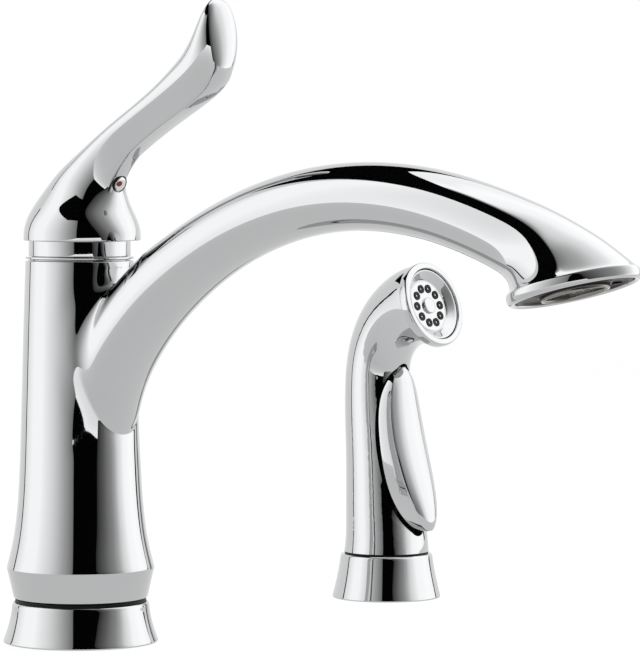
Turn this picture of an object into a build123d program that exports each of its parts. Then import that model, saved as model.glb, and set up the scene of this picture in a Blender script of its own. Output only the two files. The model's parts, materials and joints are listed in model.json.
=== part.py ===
from build123d import *
from math import asin, cos, log, pi, radians, sin
import os

os.makedirs("parts", exist_ok=True)

# Single-lever kitchen faucet with a swivel spout and a side sprayer.
# The origin is the centre of the base ring on the deck. The spout points to -Y, and the
# sprayer stands beside it on +X.

# Clearances
running_gap = 0.05
free_gap = 0.3
swivel_gap = 0.1
cut_past = 1.0

# Base ring and its gasket
base_diameter = 58.0
base_top_diameter = 51.0
base_height = 14.5
base_edge = 1.0
base_rim_width = 2.4
base_web = 3.0
base_wall = 3.0
base_ledge = 1.5
base_bore_gap = 0.8
gasket_height = 2.0
gasket_bore_gap = 1.0
flange_height = 4.0

# Black bearing ring between base ring and spout casting
swivel_washer_inset = 0.9
swivel_washer_height = 2.1
soft_edge = 0.4

# Body casting, as radius and height above the deck
band_bottom_radius = 25.2
shoulder_radius = 27.8
shoulder_height = 27.7
waist = [(24.4, 43.0), (22.9, 61.0), (21.5, 109.0)]
body_top_radius = 20.4
body_top_height = 143.4
bead_height = 1.0
bead_groove = 0.5

# Brass column in the body: it ends this far under the body's top
column_drop = 2.4
bore_radius = 17.2
relief_depth = 2.3
relief_drop = 6.0
bearing_length = 6.0
bush_wall = 1.4
bush_length = 7.9
root_fillet = 12.0
shoulder_fillet = 1.2
chamber_depth = 2.6
chamber_drop = 18.0
chamber_height = 51.0
seal_radius = 1.3
seal_groove_gap = 0.1
lower_seal_drop = 6.0
upper_seal_rise = 5.0
cup_radius = 12.5
cup_depth = 31.0
nut_thread_radius = 14.2
nut_thread_length = 5.5
shank_socket_depth = 8.0

# Spout: reach of its middle line, its height over the body's top, its slope in degrees and its
# radius. The last three reaches are measured back from the outlet.
arch_stations = [
    (6.0, -70.0, 76.0, 13.6),
    (9.8, -56.0, 72.0, 14.8),
    (14.9, -39.9, 62.0, 15.0),
    (27.8, -22.4, 47.5, 14.4),
    (46.5, -5.4, 36.5, 13.6),
    (72.8, 10.8, 26.0, 12.6),
    (105.0, 22.2, 13.0, 12.2),
    (138.0, 25.9, 0.0, 12.1),
]
outlet_stations = [
    (-56.0, 22.2, -13.0, 12.6),
    (-26.0, 12.2, -25.0, 13.3),
    (-12.5, 5.2, -43.0, 15.6),
]
waterway_radius = 9.0
waterway_mouth_radius = 12.0

# Outlet
outlet_reach = 228.0
outlet_drop = 7.4
outlet_tilt = 15.5
outlet_diameter = 46.0
outlet_flange = 4.6
outlet_lip = 1.2
outlet_edge = 1.0
insert_diameter = 40.5
insert_depth = 4.0
insert_inset = 0.6
aerator_socket_radius = 14.0
aerator_depth = 8.5
aerator_diameter = 24.0
aerator_wall = 1.6
aerator_stand = 0.8
aerator_washer_thickness = 1.5
screen_depths = [1.2, 3.2]
screen_thickness = 0.5
screen_hole_radius = 1.1
screen_circles = [(3.4, 6), (7.4, 14)]

# Cartridge
housing_neck_radius = 10.4
housing_neck_length = 10.5
disc_radius = 10.3
disc_thickness = 3.0
port_block_height = 11.0
carrier_radius = 8.7
carrier_rise = 9.1
carrier_flange_height = 3.4
pivot_rise = 3.5
pivot_pin_radius = 1.2
pivot_pin_inset = 0.5
stem_width = 6.4
stem_rise = 23.7
stem_shoulder_drop = 3.2
stem_blade_width = 5.0
stem_blade_thickness = 3.0
stem_ball_radius = 2.2
stem_arm = 9.5
stem_side_gap = 0.2
stem_slot_front = 6.0
stem_slot_back = 6.8
slide_disc_radius = 6.9
disc_pocket_radius = 3.4
disc_pocket_depth = 1.5
seal_width = 1.0
seal_height = 1.6
cavity_radius = 10.8

# Bonnet nut and cap ring
bonnet_flange_radius = 16.0
bonnet_flange_height = 8.9
cap_radius = 19.2
cap_opening_radius = 11.6
cap_wall = 1.6

# Handle: its rim hangs a little over the cap ring. Each section has the reach of its foot, the
# height over the rim, its lean in degrees, its depth, width, the width and bulge of its front, and
# the share of its depth at which it is widest.
dome_reach = 1.8
dome_overhang = 0.7
dome_rim_radius = 21.8
dome_lip = 0.5
dome_shelf_rise = 3.2
dome_shelf_radius = 20.0
dome_ceiling_rise = 4.0
dome_ceiling_radius = 16.5
boss_radius = 5.5
boss_gap = 2.0
handle_sections = [
    (23.6, 0.0, 90.0, 43.6, 43.6, 4.0, 0.09, 0.5),
    (24.6, 4.2, 90.0, 44.6, 44.6, 4.0, 0.09, 0.5),
    (22.5, 9.2, 88.6, 40.9, 40.7, 4.0, 0.1, 0.5),
    (20.1, 14.2, 84.2, 33.2, 31.8, 3.8, 0.11, 0.5),
    (19.5, 18.7, 78.5, 27.9, 26.2, 3.8, 0.13, 0.52),
    (20.4, 22.2, 71.3, 23.2, 22.2, 4.2, 0.16, 0.56),
    (23.0, 26.7, 64.1, 18.2, 18.8, 5.4, 0.2, 0.62),
    (28.0, 32.2, 50.7, 14.4, 16.6, 7.4, 0.25, 0.68),
    (35.5, 37.0, 38.6, 13.3, 15.6, 8.8, 0.3, 0.7),
    (46.0, 43.1, 31.8, 13.3, 15.5, 9.0, 0.3, 0.7),
    (60.8, 51.2, 37.4, 16.1, 16.5, 9.0, 0.4, 0.68),
    (68.2, 56.2, 45.9, 17.3, 18.0, 9.6, 0.7, 0.64),
    (71.9, 61.7, 53.5, 16.7, 19.0, 11.6, 1.2, 0.6),
    (72.3, 68.2, 55.5, 13.2, 19.4, 14.6, 1.8, 0.56),
    (72.1, 75.7, 55.8, 9.8, 17.5, 13.6, 1.8, 0.52),
    (71.2, 82.2, 53.7, 6.1, 12.5, 9.8, 1.2, 0.5),
    (70.0, 86.7, 50.0, 2.6, 5.5, 4.2, 0.5, 0.5),
]
lever_points = 16
button_rise = 21.2
button_reach = 20.6
button_diameter = 6.8
button_depth = 4.5
button_lean = -20.0
key_hole_radius = 3.0
key_hole_reach = 16.5
set_screw_diameter = 5.0
set_screw_length = 6.0
hex_key_size = 2.5
hex_key_depth = 2.5
stem_hole_gap = 0.1

# Under the deck
deck_thickness = 20.0
shank_diameter = 34.0
shank_neck_step = 0.8
shank_bore_diameter = 27.0
shank_bottom = -50.0
shank_chamfer = 1.0
mounting_washer_diameter = 56.0
mounting_washer_height = 2.0
mounting_nut_wall = 8.0
mounting_nut_height = 12.0
lock_screw_diameter = 5.0
lock_screw_inset = 4.0
lock_screw_stand = 3.0

# Tails of the water lines
tail_radius = 4.0
tail_thread_radius = 5.0
tail_bore_radius = 2.6
tail_circle_radius = 8.0
tail_socket_depth = 10.0
tail_thread_length = 14.0
tail_bottom = -66.0
passage_circle_radius = 7.0
passage_radius = 2.4
side_port_radius = 2.0
tail_angles = {"hot_inlet": 150.0, "cold_inlet": 30.0, "spray_outlet": 270.0}

# Diverter
diverter_bore_radius = 4.6
diverter_port_rise = 8.0
outlet_port_rise = 25.0
port_pocket = 4.0
cage_bottom = 30.0
cage_height = 7.0
poppet_stem_radius = 2.5
poppet_head_radius = 4.3
poppet_head_bottom = 46.0
poppet_head_height = 3.0
poppet_travel = 3.0
spring_wire_radius = 0.4
diverter_spring_turns = 5

# Side sprayer
sprayer_x = 184.5
holder_diameter = 44.8
holder_top_diameter = 37.8
holder_height = 17.6
holder_wall = 2.6
holder_edge = 0.8
holder_web = 3.0
holder_collar_height = 4.0
holder_gasket_height = 1.5
holder_shank_diameter = 27.0
holder_shank_bore_diameter = 22.0
holder_shank_bottom = -38.0
holder_lip_inset = 1.6
holder_lip_height = 1.2
holder_nut_diameter = 40.0
holder_nut_height = 8.0
holder_washer_diameter = 44.0
holder_washer_height = 1.6
sprayer_tail_gap = 0.4

# Sprayer shell: reach from its own axis, height of the middle line over its foot, slope and radius
sprayer_stations = [
    (0.0, 0.0, 90.0, 17.6),
    (0.0, 7.9, 90.0, 16.9),
    (-1.2, 25.9, 92.0, 15.9),
    (-2.3, 40.9, 93.0, 15.1),
    (-3.8, 55.9, 94.0, 14.3),
    (-4.7, 69.9, 90.0, 13.5),
    (-3.9, 79.9, 80.0, 13.2),
    (-0.5, 88.9, 62.0, 13.6),
    (4.6, 95.5, 43.0, 14.4),
    (11.8, 100.5, 26.0, 15.6),
    (21.5, 102.2, 18.0, 17.2),
]
sprayer_wall = 2.2
face_reach = 25.3
face_rise = 103.4
face_tilt = 18.0
head_ring_diameter = 35.7
head_ring_opening = 30.0
head_ring_depth = 4.0
head_ring_edge = 0.8
plate_radius = 11.0
plate_depth = 3.6
plate_thickness = 1.2
dish_rim_depth = 1.2
nozzle_count = 10
nozzle_circle_radius = 7.5
nozzle_radius = 1.8
nozzle_bore_radius = 0.6
nozzle_length = 2.2
nozzle_stand = 0.4
boss_cap_radius = 3.4
boss_cap_height = 1.2
boss_cap_edge = 0.6
plate_screw_radius = 1.2
plate_screw_length = 3.9
manifold_radius = 13.0
manifold_thickness = 3.0
manifold_recess_radius = 10.0
manifold_recess = 1.2
manifold_post_radius = 2.2
feed_circle_radius = 3.1
feed_radius = 0.8
feed_count = 6

# Sprayer waterway: reach, height over the foot and slope of its middle line
core_stations = [
    (0.0, 0.0, 90.0),
    (-1.0, 14.9, 93.0),
    (-2.5, 30.9, 96.0),
    (-6.5, 60.9, 95.0),
    (-7.0, 72.9, 89.0),
    (-4.6, 84.9, 66.0),
    (3.2, 93.3, 37.0),
]
core_radius = 6.0
core_bore_radius = 4.0
core_foot_height = 4.0
tail_length = 17.1
tail_neck_radius = 6.0
tail_neck_length = 8.0
coupling_radius = 8.6
coupling_gap = 2.0
coupling_length = 14.0
coupling_bore_radius = 3.2
coupling_washer_height = 1.5

# Trigger: height over the sprayer's foot, half width and reach of the side edge, then of the ridge
trigger_sections = [
    (76.5, 2.6, 8.0, 1.4, 8.6),
    (72.9, 6.6, 6.6, 5.0, 9.1),
    (63.9, 10.3, 4.3, 8.2, 9.4),
    (54.9, 11.7, 4.6, 9.1, 10.4),
    (44.9, 12.4, 6.0, 9.5, 12.9),
    (33.9, 12.2, 7.6, 9.5, 16.4),
    (22.9, 10.8, 10.6, 8.1, 19.9),
    (14.9, 7.4, 14.4, 5.0, 22.2),
    (10.5, 3.0, 17.4, 1.8, 23.2),
]
trigger_bulge = 1.6
trigger_edge = 0.6
window_gap = 0.6
window_reach = 1.5
window_tip = 1.6
trigger_pivot_rise = 72.4
trigger_pivot_reach = 2.6
trigger_pin_radius = 1.0
trigger_pin_length = 21.4
trigger_lug_radius = 2.2
trigger_lug_width = 9.0
trigger_angle = 5.0
valve_rise = 42.9
valve_stem_radius = 1.5
valve_boss_radius = 4.2
valve_boss_reach = 2.4
valve_boss_back = -12.2
spring_pocket_radius = 2.9
spring_pocket_back = -11.0
valve_collar_radius = 2.6
valve_collar_thickness = 1.5
valve_collar_reach = -1.4
trigger_spring_turns = 4
trigger_spring_radius = 2.1


def ring_on(plane, outer, inner, start, end, mode=Mode.ADD):
    """Add or cut a ring, or a disc where the inner radius is 0, between two distances from a plane."""
    with BuildSketch(plane.offset(start)) as disc:
        Circle(outer)
        if inner > 0:
            Circle(inner, mode=Mode.SUBTRACT)
    extrude(disc.sketch, amount=end - start, mode=mode)


def ring(outer, inner, bottom, top, x=0.0, y=0.0, mode=Mode.ADD):
    """Add or cut an upright ring or disc."""
    ring_on(Plane((x, y, 0)), outer, inner, bottom, top, mode)


def section_plane(reach, height, slope, x=0.0):
    """The plane square to a line that runs forward and up at this slope in degrees."""
    ahead = (0, -cos(radians(slope)), sin(radians(slope)))
    return Plane(origin=(x, -reach, height), x_dir=(1, 0, 0), z_dir=ahead)


def round_loft(stations, level, x=0.0, radius=None, shrink=0.0, mode=Mode.ADD):
    """Add or cut a loft through a circle at each station, with heights measured from this level."""
    circles = []
    for station in stations:
        reach, rise, slope = station[:3]
        with BuildSketch(section_plane(reach, level + rise, slope, x)) as circle:
            Circle(radius if radius else station[3] - shrink)
        circles.append(circle.sketch)
    loft(circles, mode=mode)


def lever_section(reach, rise, lean, depth, width, front, bulge, widest):
    """An oval square to the lever, with a nearly flat front and its widest place nearer the back."""
    corner = asin(front / width)
    foot = (1 - cos(corner)) / 2
    power = log(widest) / log(0.5)
    back = []
    for step in range(lever_points + 1):
        turn = corner + (2 * pi - 2 * corner) * step / lever_points
        deep = ((1 - cos(turn)) / 2 - foot) / (1 - foot)
        back.append((width / 2 * sin(turn), depth * max(deep, 0) ** power))
    with BuildSketch(section_plane(reach, dome_rim_height + rise, lean)) as outline:
        with BuildLine():
            side = Spline(*back)
            Spline(side @ 1, (0, -bulge), side @ 0)
        make_face()
    return outline.sketch


def spring_coil(bottom_plane, coil_radius, wire_radius, length, turns):
    """Sweep a round wire along a helix that starts at this plane's origin."""
    height = length - 2 * wire_radius
    with BuildLine(bottom_plane.offset(wire_radius)) as path:
        Helix(height / turns, height, coil_radius, direction=bottom_plane.z_dir)
    with BuildSketch(Plane(origin=path.line @ 0, z_dir=path.line % 0)) as wire:
        Circle(wire_radius)
    sweep(wire.sketch, path=path.line, is_frenet=True)


def finish(builder, name):
    """Name a finished piece and write it."""
    builder.part.label = name
    export_step(builder.part, f"parts/{name}.step")


# Heights above the deck that follow from the body's top and from the sprayer's holder
shell_bottom = base_height + swivel_washer_height + swivel_gap
bead_bottom = body_top_height + bead_groove
bead_top = bead_bottom + bead_height
bush_bottom = bead_top - bush_length
column_top = body_top_height - column_drop
chamber_top = column_top - chamber_drop
chamber_bottom = chamber_top - chamber_height
seal_heights = [chamber_bottom - lower_seal_drop, chamber_top + upper_seal_rise]
relief_top = seal_heights[0] - relief_drop
diverter_port_height = chamber_bottom + diverter_port_rise
diverter_top = diverter_port_height + port_pocket
outlet_port_height = chamber_bottom + outlet_port_rise
port_bottom = outlet_port_height - port_pocket
cup_floor = column_top - cup_depth
cartridge_top = column_top - nut_thread_length
housing_neck_top = cartridge_top + housing_neck_length
disc_floor = cup_floor + port_block_height
carrier_bottom = disc_floor + carrier_rise
carrier_flange_top = carrier_bottom + carrier_flange_height
pivot_height = cartridge_top + pivot_rise
stem_shoulder = pivot_height - stem_shoulder_drop
bonnet_top = column_top + bonnet_flange_height
cap_bottom = bead_top + free_gap
cap_top = bonnet_top + cap_wall
dome_rim_height = cap_top - dome_overhang
dome_shelf_height = dome_rim_height + dome_shelf_rise
dome_ceiling_height = dome_shelf_height + dome_ceiling_rise
boss_bottom = cap_top + boss_gap
stem_top = dome_rim_height + stem_rise
button_height = dome_rim_height + button_rise
outlet_height = body_top_height - outlet_drop
holder_lip_top = holder_height + holder_lip_height
sprayer_floor = holder_lip_top + free_gap
tail_bottom_height = sprayer_floor - tail_length
tail_neck_bottom = tail_bottom_height - tail_neck_length
coupling_top = tail_bottom_height - coupling_gap
coupling_bottom = coupling_top - coupling_length
face_height = sprayer_floor + face_rise
trigger_pivot_height = sprayer_floor + trigger_pivot_rise
valve_height = sprayer_floor + valve_rise

# Base ring: flared chrome trim with a web that the bearing ring lies on
with BuildPart() as base_ring:
    with BuildSketch(Plane.XZ):
        with BuildLine():
            foot = base_diameter / 2
            crown = base_top_diameter / 2
            hollow = foot - base_rim_width
            inner = crown - base_wall
            web_bottom = base_height - base_web
            column_radius = bore_radius + base_bore_gap
            edge = Line((foot, 0), (foot, base_edge))
            flare = Spline(edge @ 1, (crown, base_height), tangents=[(-0.5, 1), (-0.12, 1)])
            Polyline(
                flare @ 1,
                (column_radius, base_height),
                (column_radius, web_bottom),
                (inner, web_bottom),
                (inner, gasket_height + flange_height),
                (hollow, gasket_height + flange_height - base_ledge),
                (hollow, 0),
                edge @ 0,
            )
        make_face()
    revolve(axis=Axis.Z)
finish(base_ring, "base_ring")

with BuildPart() as deck_gasket:
    ring(hollow, shank_diameter / 2 + gasket_bore_gap, 0, gasket_height)
finish(deck_gasket, "deck_gasket")

with BuildPart() as swivel_washer:
    ring(crown - swivel_washer_inset, column_radius, base_height, shell_bottom - swivel_gap)
    fillet(swivel_washer.edges().filter_by(GeomType.CIRCLE).group_by(SortBy.RADIUS)[-1], soft_edge)
finish(swivel_washer, "swivel_washer")

# Valve body: brass column with the water passages, the cartridge cup and the seal grooves
column = bore_radius - running_gap
chamber_radius = bore_radius - chamber_depth
shank_radius = shank_diameter / 2
shank_neck_radius = shank_radius - shank_neck_step
with BuildPart() as valve_body:
    ring(inner - free_gap, 0, gasket_height, gasket_height + flange_height)
    ring(column, 0, gasket_height, column_top)
    ring(column + cut_past, chamber_radius, chamber_bottom, chamber_top, mode=Mode.SUBTRACT)
    groove_bottom = column - 2 * seal_radius
    for height in seal_heights:
        groove = seal_radius + seal_groove_gap
        ring(column + cut_past, groove_bottom, height - groove, height + groove, mode=Mode.SUBTRACT)
    ring(cup_radius, 0, cup_floor, column_top, mode=Mode.SUBTRACT)
    ring(nut_thread_radius, 0, cartridge_top, column_top, mode=Mode.SUBTRACT)
    socket_top = gasket_height + shank_socket_depth
    tail_top = socket_top + tail_socket_depth
    ring(shank_neck_radius, 0, gasket_height, socket_top, mode=Mode.SUBTRACT)
    for name, angle in tail_angles.items():
        tail_x = tail_circle_radius * cos(radians(angle))
        tail_y = tail_circle_radius * sin(radians(angle))
        way_x = passage_circle_radius * cos(radians(angle))
        way_y = passage_circle_radius * sin(radians(angle))
        ring(tail_thread_radius, 0, socket_top, tail_top, tail_x, tail_y, Mode.SUBTRACT)
        if name == "spray_outlet":
            ring(passage_radius, 0, socket_top, cage_bottom, tail_x, tail_y, Mode.SUBTRACT)
            ring(diverter_bore_radius, 0, cage_bottom, diverter_top, tail_x, tail_y, Mode.SUBTRACT)
            ring(passage_radius, 0, port_bottom, cup_floor, way_x, way_y, Mode.SUBTRACT)
        else:
            ring(passage_radius, 0, socket_top, cup_floor, way_x, way_y, Mode.SUBTRACT)
    for height in (diverter_port_height, outlet_port_height):
        with BuildSketch(Plane(origin=(way_x, way_y, height), z_dir=(way_x, way_y, 0))):
            Circle(side_port_radius)
        extrude(amount=column, mode=Mode.SUBTRACT)
finish(valve_body, "valve_body")

with BuildPart() as spout_seals:
    for height in seal_heights:
        with Locations((0, 0, height)):
            Torus(column - seal_radius, seal_radius)
finish(spout_seals, "spout_seals")

# Threaded shank and its clamp under the deck
with BuildPart() as mounting_shank:
    ring(shank_radius, shank_bore_diameter / 2, shank_bottom, gasket_height)
    ring(shank_neck_radius, shank_bore_diameter / 2, gasket_height, socket_top)
    chamfer(mounting_shank.edges().group_by(Axis.Z)[0].sort_by(SortBy.RADIUS)[-1], shank_chamfer)
finish(mounting_shank, "mounting_shank")

washer_top = -deck_thickness
with BuildPart() as mounting_washer:
    ring(mounting_washer_diameter / 2, shank_radius, washer_top - mounting_washer_height, washer_top)
finish(mounting_washer, "mounting_washer")

nut_top = washer_top - mounting_washer_height
lock_screw_circle = shank_radius + lock_screw_inset
with BuildPart() as mounting_nut:
    with BuildSketch(Plane.XY.offset(nut_top - mounting_nut_height)):
        RegularPolygon(shank_radius + mounting_nut_wall, 6)
        Circle(shank_radius, mode=Mode.SUBTRACT)
        with PolarLocations(lock_screw_circle, 2):
            Circle(lock_screw_diameter / 2, mode=Mode.SUBTRACT)
    extrude(amount=mounting_nut_height)
finish(mounting_nut, "mounting_nut")

with BuildPart() as lock_screws:
    with BuildSketch(Plane.XY.offset(nut_top - mounting_nut_height - lock_screw_stand)):
        with PolarLocations(lock_screw_circle, 2):
            Circle(lock_screw_diameter / 2)
    extrude(amount=mounting_nut_height + lock_screw_stand)
finish(lock_screws, "lock_screws")

# Threaded tails of the two supply lines and of the sprayer line
for name, angle in tail_angles.items():
    tail_x = tail_circle_radius * cos(radians(angle))
    tail_y = tail_circle_radius * sin(radians(angle))
    thread_top = tail_bottom + tail_thread_length
    with BuildPart() as tail:
        ring(tail_thread_radius, 0, tail_bottom, thread_top, tail_x, tail_y)
        ring(tail_radius, 0, thread_top, socket_top, tail_x, tail_y)
        ring(tail_thread_radius, 0, socket_top, tail_top, tail_x, tail_y)
        ring(tail_bore_radius, 0, tail_bottom, tail_top, tail_x, tail_y, Mode.SUBTRACT)
    finish(tail, name)

# Diverter: a fixed cage, a poppet that slides in it and the spring between them
diverter_x = tail_circle_radius * cos(radians(tail_angles["spray_outlet"]))
diverter_y = tail_circle_radius * sin(radians(tail_angles["spray_outlet"]))
cage_top = cage_bottom + cage_height
with BuildPart() as diverter_cage:
    cage_bore_radius = poppet_stem_radius + running_gap
    ring(diverter_bore_radius, cage_bore_radius, cage_bottom, cage_top, diverter_x, diverter_y)
finish(diverter_cage, "diverter_cage")

with BuildPart() as diverter_poppet:
    poppet_head_top = poppet_head_bottom + poppet_head_height
    ring(poppet_stem_radius, 0, cage_bottom + poppet_travel, poppet_head_bottom, diverter_x, diverter_y)
    ring(poppet_head_radius, 0, poppet_head_bottom, poppet_head_top, diverter_x, diverter_y)
finish(diverter_poppet, "diverter_poppet")

with BuildPart() as diverter_spring:
    spring_coil(
        Plane((diverter_x, diverter_y, cage_top)),
        (poppet_stem_radius + diverter_bore_radius) / 2,
        spring_wire_radius,
        poppet_head_bottom - cage_top,
        diverter_spring_turns,
    )
finish(diverter_spring, "diverter_spring")

# Cartridge: housing with its ports and seals, and the fixed ceramic disc
housing_radius = cup_radius - running_gap
port_places = []
for angle in tail_angles.values():
    port_x = passage_circle_radius * cos(radians(angle))
    port_y = passage_circle_radius * sin(radians(angle))
    port_places.append((port_x, port_y))
with BuildPart() as cartridge_housing:
    ring(housing_radius, 0, cup_floor, cartridge_top)
    ring(housing_neck_radius, 0, cartridge_top, housing_neck_top)
    ring(disc_radius + running_gap, 0, disc_floor, disc_floor + disc_thickness, mode=Mode.SUBTRACT)
    ring(cavity_radius, 0, disc_floor + disc_thickness, carrier_flange_top + swivel_gap, mode=Mode.SUBTRACT)
    ring(carrier_radius + running_gap, 0, carrier_flange_top, housing_neck_top, mode=Mode.SUBTRACT)
    with BuildSketch(Plane.XY.offset(cup_floor)):
        with Locations(*port_places):
            Circle(passage_radius)
    extrude(amount=disc_floor - cup_floor, mode=Mode.SUBTRACT)
    with BuildSketch(Plane.XY.offset(cup_floor)):
        with Locations(*port_places):
            Circle(passage_radius + seal_width)
    extrude(amount=seal_height, mode=Mode.SUBTRACT)
finish(cartridge_housing, "cartridge_housing")

with BuildPart() as cartridge_seals:
    with BuildSketch(Plane.XY.offset(cup_floor)):
        with Locations(*port_places):
            Circle(passage_radius + seal_width)
            Circle(passage_radius, mode=Mode.SUBTRACT)
    extrude(amount=seal_height)
finish(cartridge_seals, "cartridge_seals")

with BuildPart() as lower_disc:
    with BuildSketch(Plane.XY.offset(disc_floor)):
        Circle(disc_radius)
        with Locations(*port_places):
            Circle(passage_radius, mode=Mode.SUBTRACT)
    extrude(amount=disc_thickness)
finish(lower_disc, "lower_disc")

# Upper disc and its holder: they turn with the handle and slide with its lift
upper_disc_bottom = disc_floor + disc_thickness + running_gap
with BuildPart() as upper_disc:
    pocket_top = upper_disc_bottom + disc_pocket_depth
    ring(slide_disc_radius, 0, upper_disc_bottom, upper_disc_bottom + disc_thickness)
    ring(disc_pocket_radius, 0, upper_disc_bottom, pocket_top, mode=Mode.SUBTRACT)
finish(upper_disc, "upper_disc")

holder_floor = upper_disc_bottom + disc_thickness
holder_roof = carrier_bottom - swivel_gap
with BuildPart() as disc_holder:
    ring(slide_disc_radius, 0, holder_floor, holder_roof)
    with BuildSketch(Plane.XY.offset(holder_floor)):
        Rectangle(stem_blade_width + 2 * free_gap, 2 * (stem_ball_radius + swivel_gap))
    extrude(amount=holder_roof - holder_floor, mode=Mode.SUBTRACT)
finish(disc_holder, "disc_holder")

# Stem carrier: turns in the neck of the housing and holds the pivot pin
with BuildPart() as stem_carrier:
    ring(cavity_radius - free_gap, 0, carrier_bottom, carrier_flange_top)
    ring(carrier_radius, 0, carrier_flange_top, housing_neck_top)
    with BuildSketch(Plane.XY.offset(carrier_bottom)):
        with Locations((0, (stem_slot_front - stem_slot_back) / -2)):
            Rectangle(stem_width + 2 * stem_side_gap, stem_slot_front + stem_slot_back)
    extrude(amount=housing_neck_top - carrier_bottom, mode=Mode.SUBTRACT)
    with BuildSketch(Plane.YZ):
        with Locations((0, pivot_height)):
            Circle(pivot_pin_radius)
    extrude(amount=carrier_radius, both=True, mode=Mode.SUBTRACT)
finish(stem_carrier, "stem_carrier")

with BuildPart() as stem_pin:
    with BuildSketch(Plane.YZ):
        with Locations((0, pivot_height)):
            Circle(pivot_pin_radius)
    extrude(amount=carrier_radius - pivot_pin_inset, both=True)
finish(stem_pin, "stem_pin")

with BuildPart() as cartridge_stem:
    with BuildSketch(Plane.XY.offset(stem_shoulder)):
        Rectangle(stem_width, stem_width)
    extrude(amount=stem_top - stem_shoulder)
    with BuildSketch(Plane.XY.offset(pivot_height - stem_arm)):
        Rectangle(stem_blade_width, stem_blade_thickness)
    extrude(amount=stem_shoulder - pivot_height + stem_arm)
    with BuildSketch(Plane.YZ):
        with Locations((0, pivot_height - stem_arm)):
            Circle(stem_ball_radius)
    extrude(amount=stem_blade_width / 2, both=True)
    with BuildSketch(Plane.YZ):
        with Locations((0, pivot_height)):
            Circle(pivot_pin_radius + running_gap)
    extrude(amount=stem_width, both=True, mode=Mode.SUBTRACT)
finish(cartridge_stem, "cartridge_stem")

# Bonnet nut and the chrome cap ring that lies on it
with BuildPart() as bonnet_nut:
    ring(nut_thread_radius, 0, cartridge_top, column_top)
    with BuildSketch(Plane.XY.offset(column_top)):
        RegularPolygon(bonnet_flange_radius, 6)
    extrude(amount=bonnet_top - column_top)
    ring(housing_neck_radius + swivel_gap, 0, cartridge_top, bonnet_top, mode=Mode.SUBTRACT)
finish(bonnet_nut, "bonnet_nut")

with BuildPart() as cap_ring:
    ring(cap_radius, 0, cap_bottom, cap_top)
    ring(cap_radius - cap_wall, 0, cap_bottom, bonnet_top, mode=Mode.SUBTRACT)
    ring(cap_opening_radius, 0, bonnet_top, cap_top, mode=Mode.SUBTRACT)
    fillet(cap_ring.edges().group_by(Axis.Z)[0].sort_by(SortBy.RADIUS)[-1], soft_edge)
finish(cap_ring, "cap_ring")

# Spout: body and arch in one casting, open from the bottom bore to the outlet
outlet = section_plane(outlet_reach, outlet_height, outlet_tilt - 90)
spout_stations = list(arch_stations)
for reach, rise, slope, radius in outlet_stations:
    spout_stations.append((outlet_reach + reach, rise, slope, radius))
neck_station = (
    outlet_reach - outlet_flange * sin(radians(outlet_tilt)),
    outlet_flange * cos(radians(outlet_tilt)) - outlet_drop,
    outlet_tilt - 90,
    outlet_diameter / 2 - outlet_lip,
)
bush_radius = bore_radius + bush_wall
with BuildPart() as spout_shell:
    with BuildSketch(Plane.XZ):
        with BuildLine():
            bottom = Line((0, shell_bottom), (band_bottom_radius, shell_bottom))
            band = Line(bottom @ 1, (shoulder_radius, shoulder_height))
            side = Spline(
                band @ 1,
                *waist,
                (body_top_radius, body_top_height),
                tangents=[(-0.25, 1), (-0.02, 1)],
            )
            Polyline(
                side @ 1,
                (body_top_radius - bead_groove, body_top_height),
                (body_top_radius - bead_groove, bead_bottom),
                (body_top_radius, bead_bottom),
                (body_top_radius, bead_top),
                (0, bead_top),
                bottom @ 0,
            )
        make_face()
    revolve(axis=Axis.Z)
    fillet(spout_shell.edges().filter_by(GeomType.CIRCLE).group_by(SortBy.RADIUS)[-1], shoulder_fillet)
    round_loft(spout_stations + [neck_station], body_top_height)
    fillet(spout_shell.edges(Select.LAST).sort_by(Axis.Y)[-1], root_fillet)
    ring_on(outlet, outlet_diameter / 2, 0, -outlet_flange, 0)
    rims = spout_shell.edges(Select.LAST).filter_by(GeomType.CIRCLE).group_by(SortBy.RADIUS)[-1]
    fillet(rims, outlet_edge)
    ring(bore_radius, 0, shell_bottom, bead_top, mode=Mode.SUBTRACT)
    relief_radius = bore_radius + relief_depth
    ring(relief_radius, 0, shell_bottom + bearing_length, relief_top, mode=Mode.SUBTRACT)
    ring(bush_radius, 0, bush_bottom, bead_top, mode=Mode.SUBTRACT)
    waterway = [station[:3] + (waterway_radius,) for station in spout_stations[:-1]]
    waterway.append(spout_stations[-1][:3] + (waterway_mouth_radius,))
    waterway.append(neck_station[:3] + (waterway_mouth_radius,))
    round_loft(waterway, body_top_height, mode=Mode.SUBTRACT)
    ring_on(outlet, aerator_socket_radius, 0, -aerator_depth, 0, Mode.SUBTRACT)
    ring_on(outlet, insert_diameter / 2, 0, -insert_depth, 0, Mode.SUBTRACT)
finish(spout_shell, "spout_shell")

with BuildPart() as spout_bush:
    ring(bush_radius, bore_radius, bush_bottom, bead_top - swivel_gap)
finish(spout_bush, "spout_bush")

# Aerator: grey housing, its ring with two screens, and the washer above them
aerator_radius = aerator_diameter / 2
screen_radius = aerator_radius - aerator_wall
washer_depth = aerator_depth - aerator_washer_thickness
with BuildPart() as aerator_housing:
    ring_on(outlet, insert_diameter / 2, aerator_radius, -insert_depth, -insert_inset)
    ring_on(outlet, aerator_socket_radius, aerator_radius, -washer_depth, -insert_depth)
finish(aerator_housing, "aerator_housing")

with BuildPart() as aerator_ring:
    ring_on(outlet, aerator_radius, screen_radius, -washer_depth, aerator_stand)
finish(aerator_ring, "aerator_ring")

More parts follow.
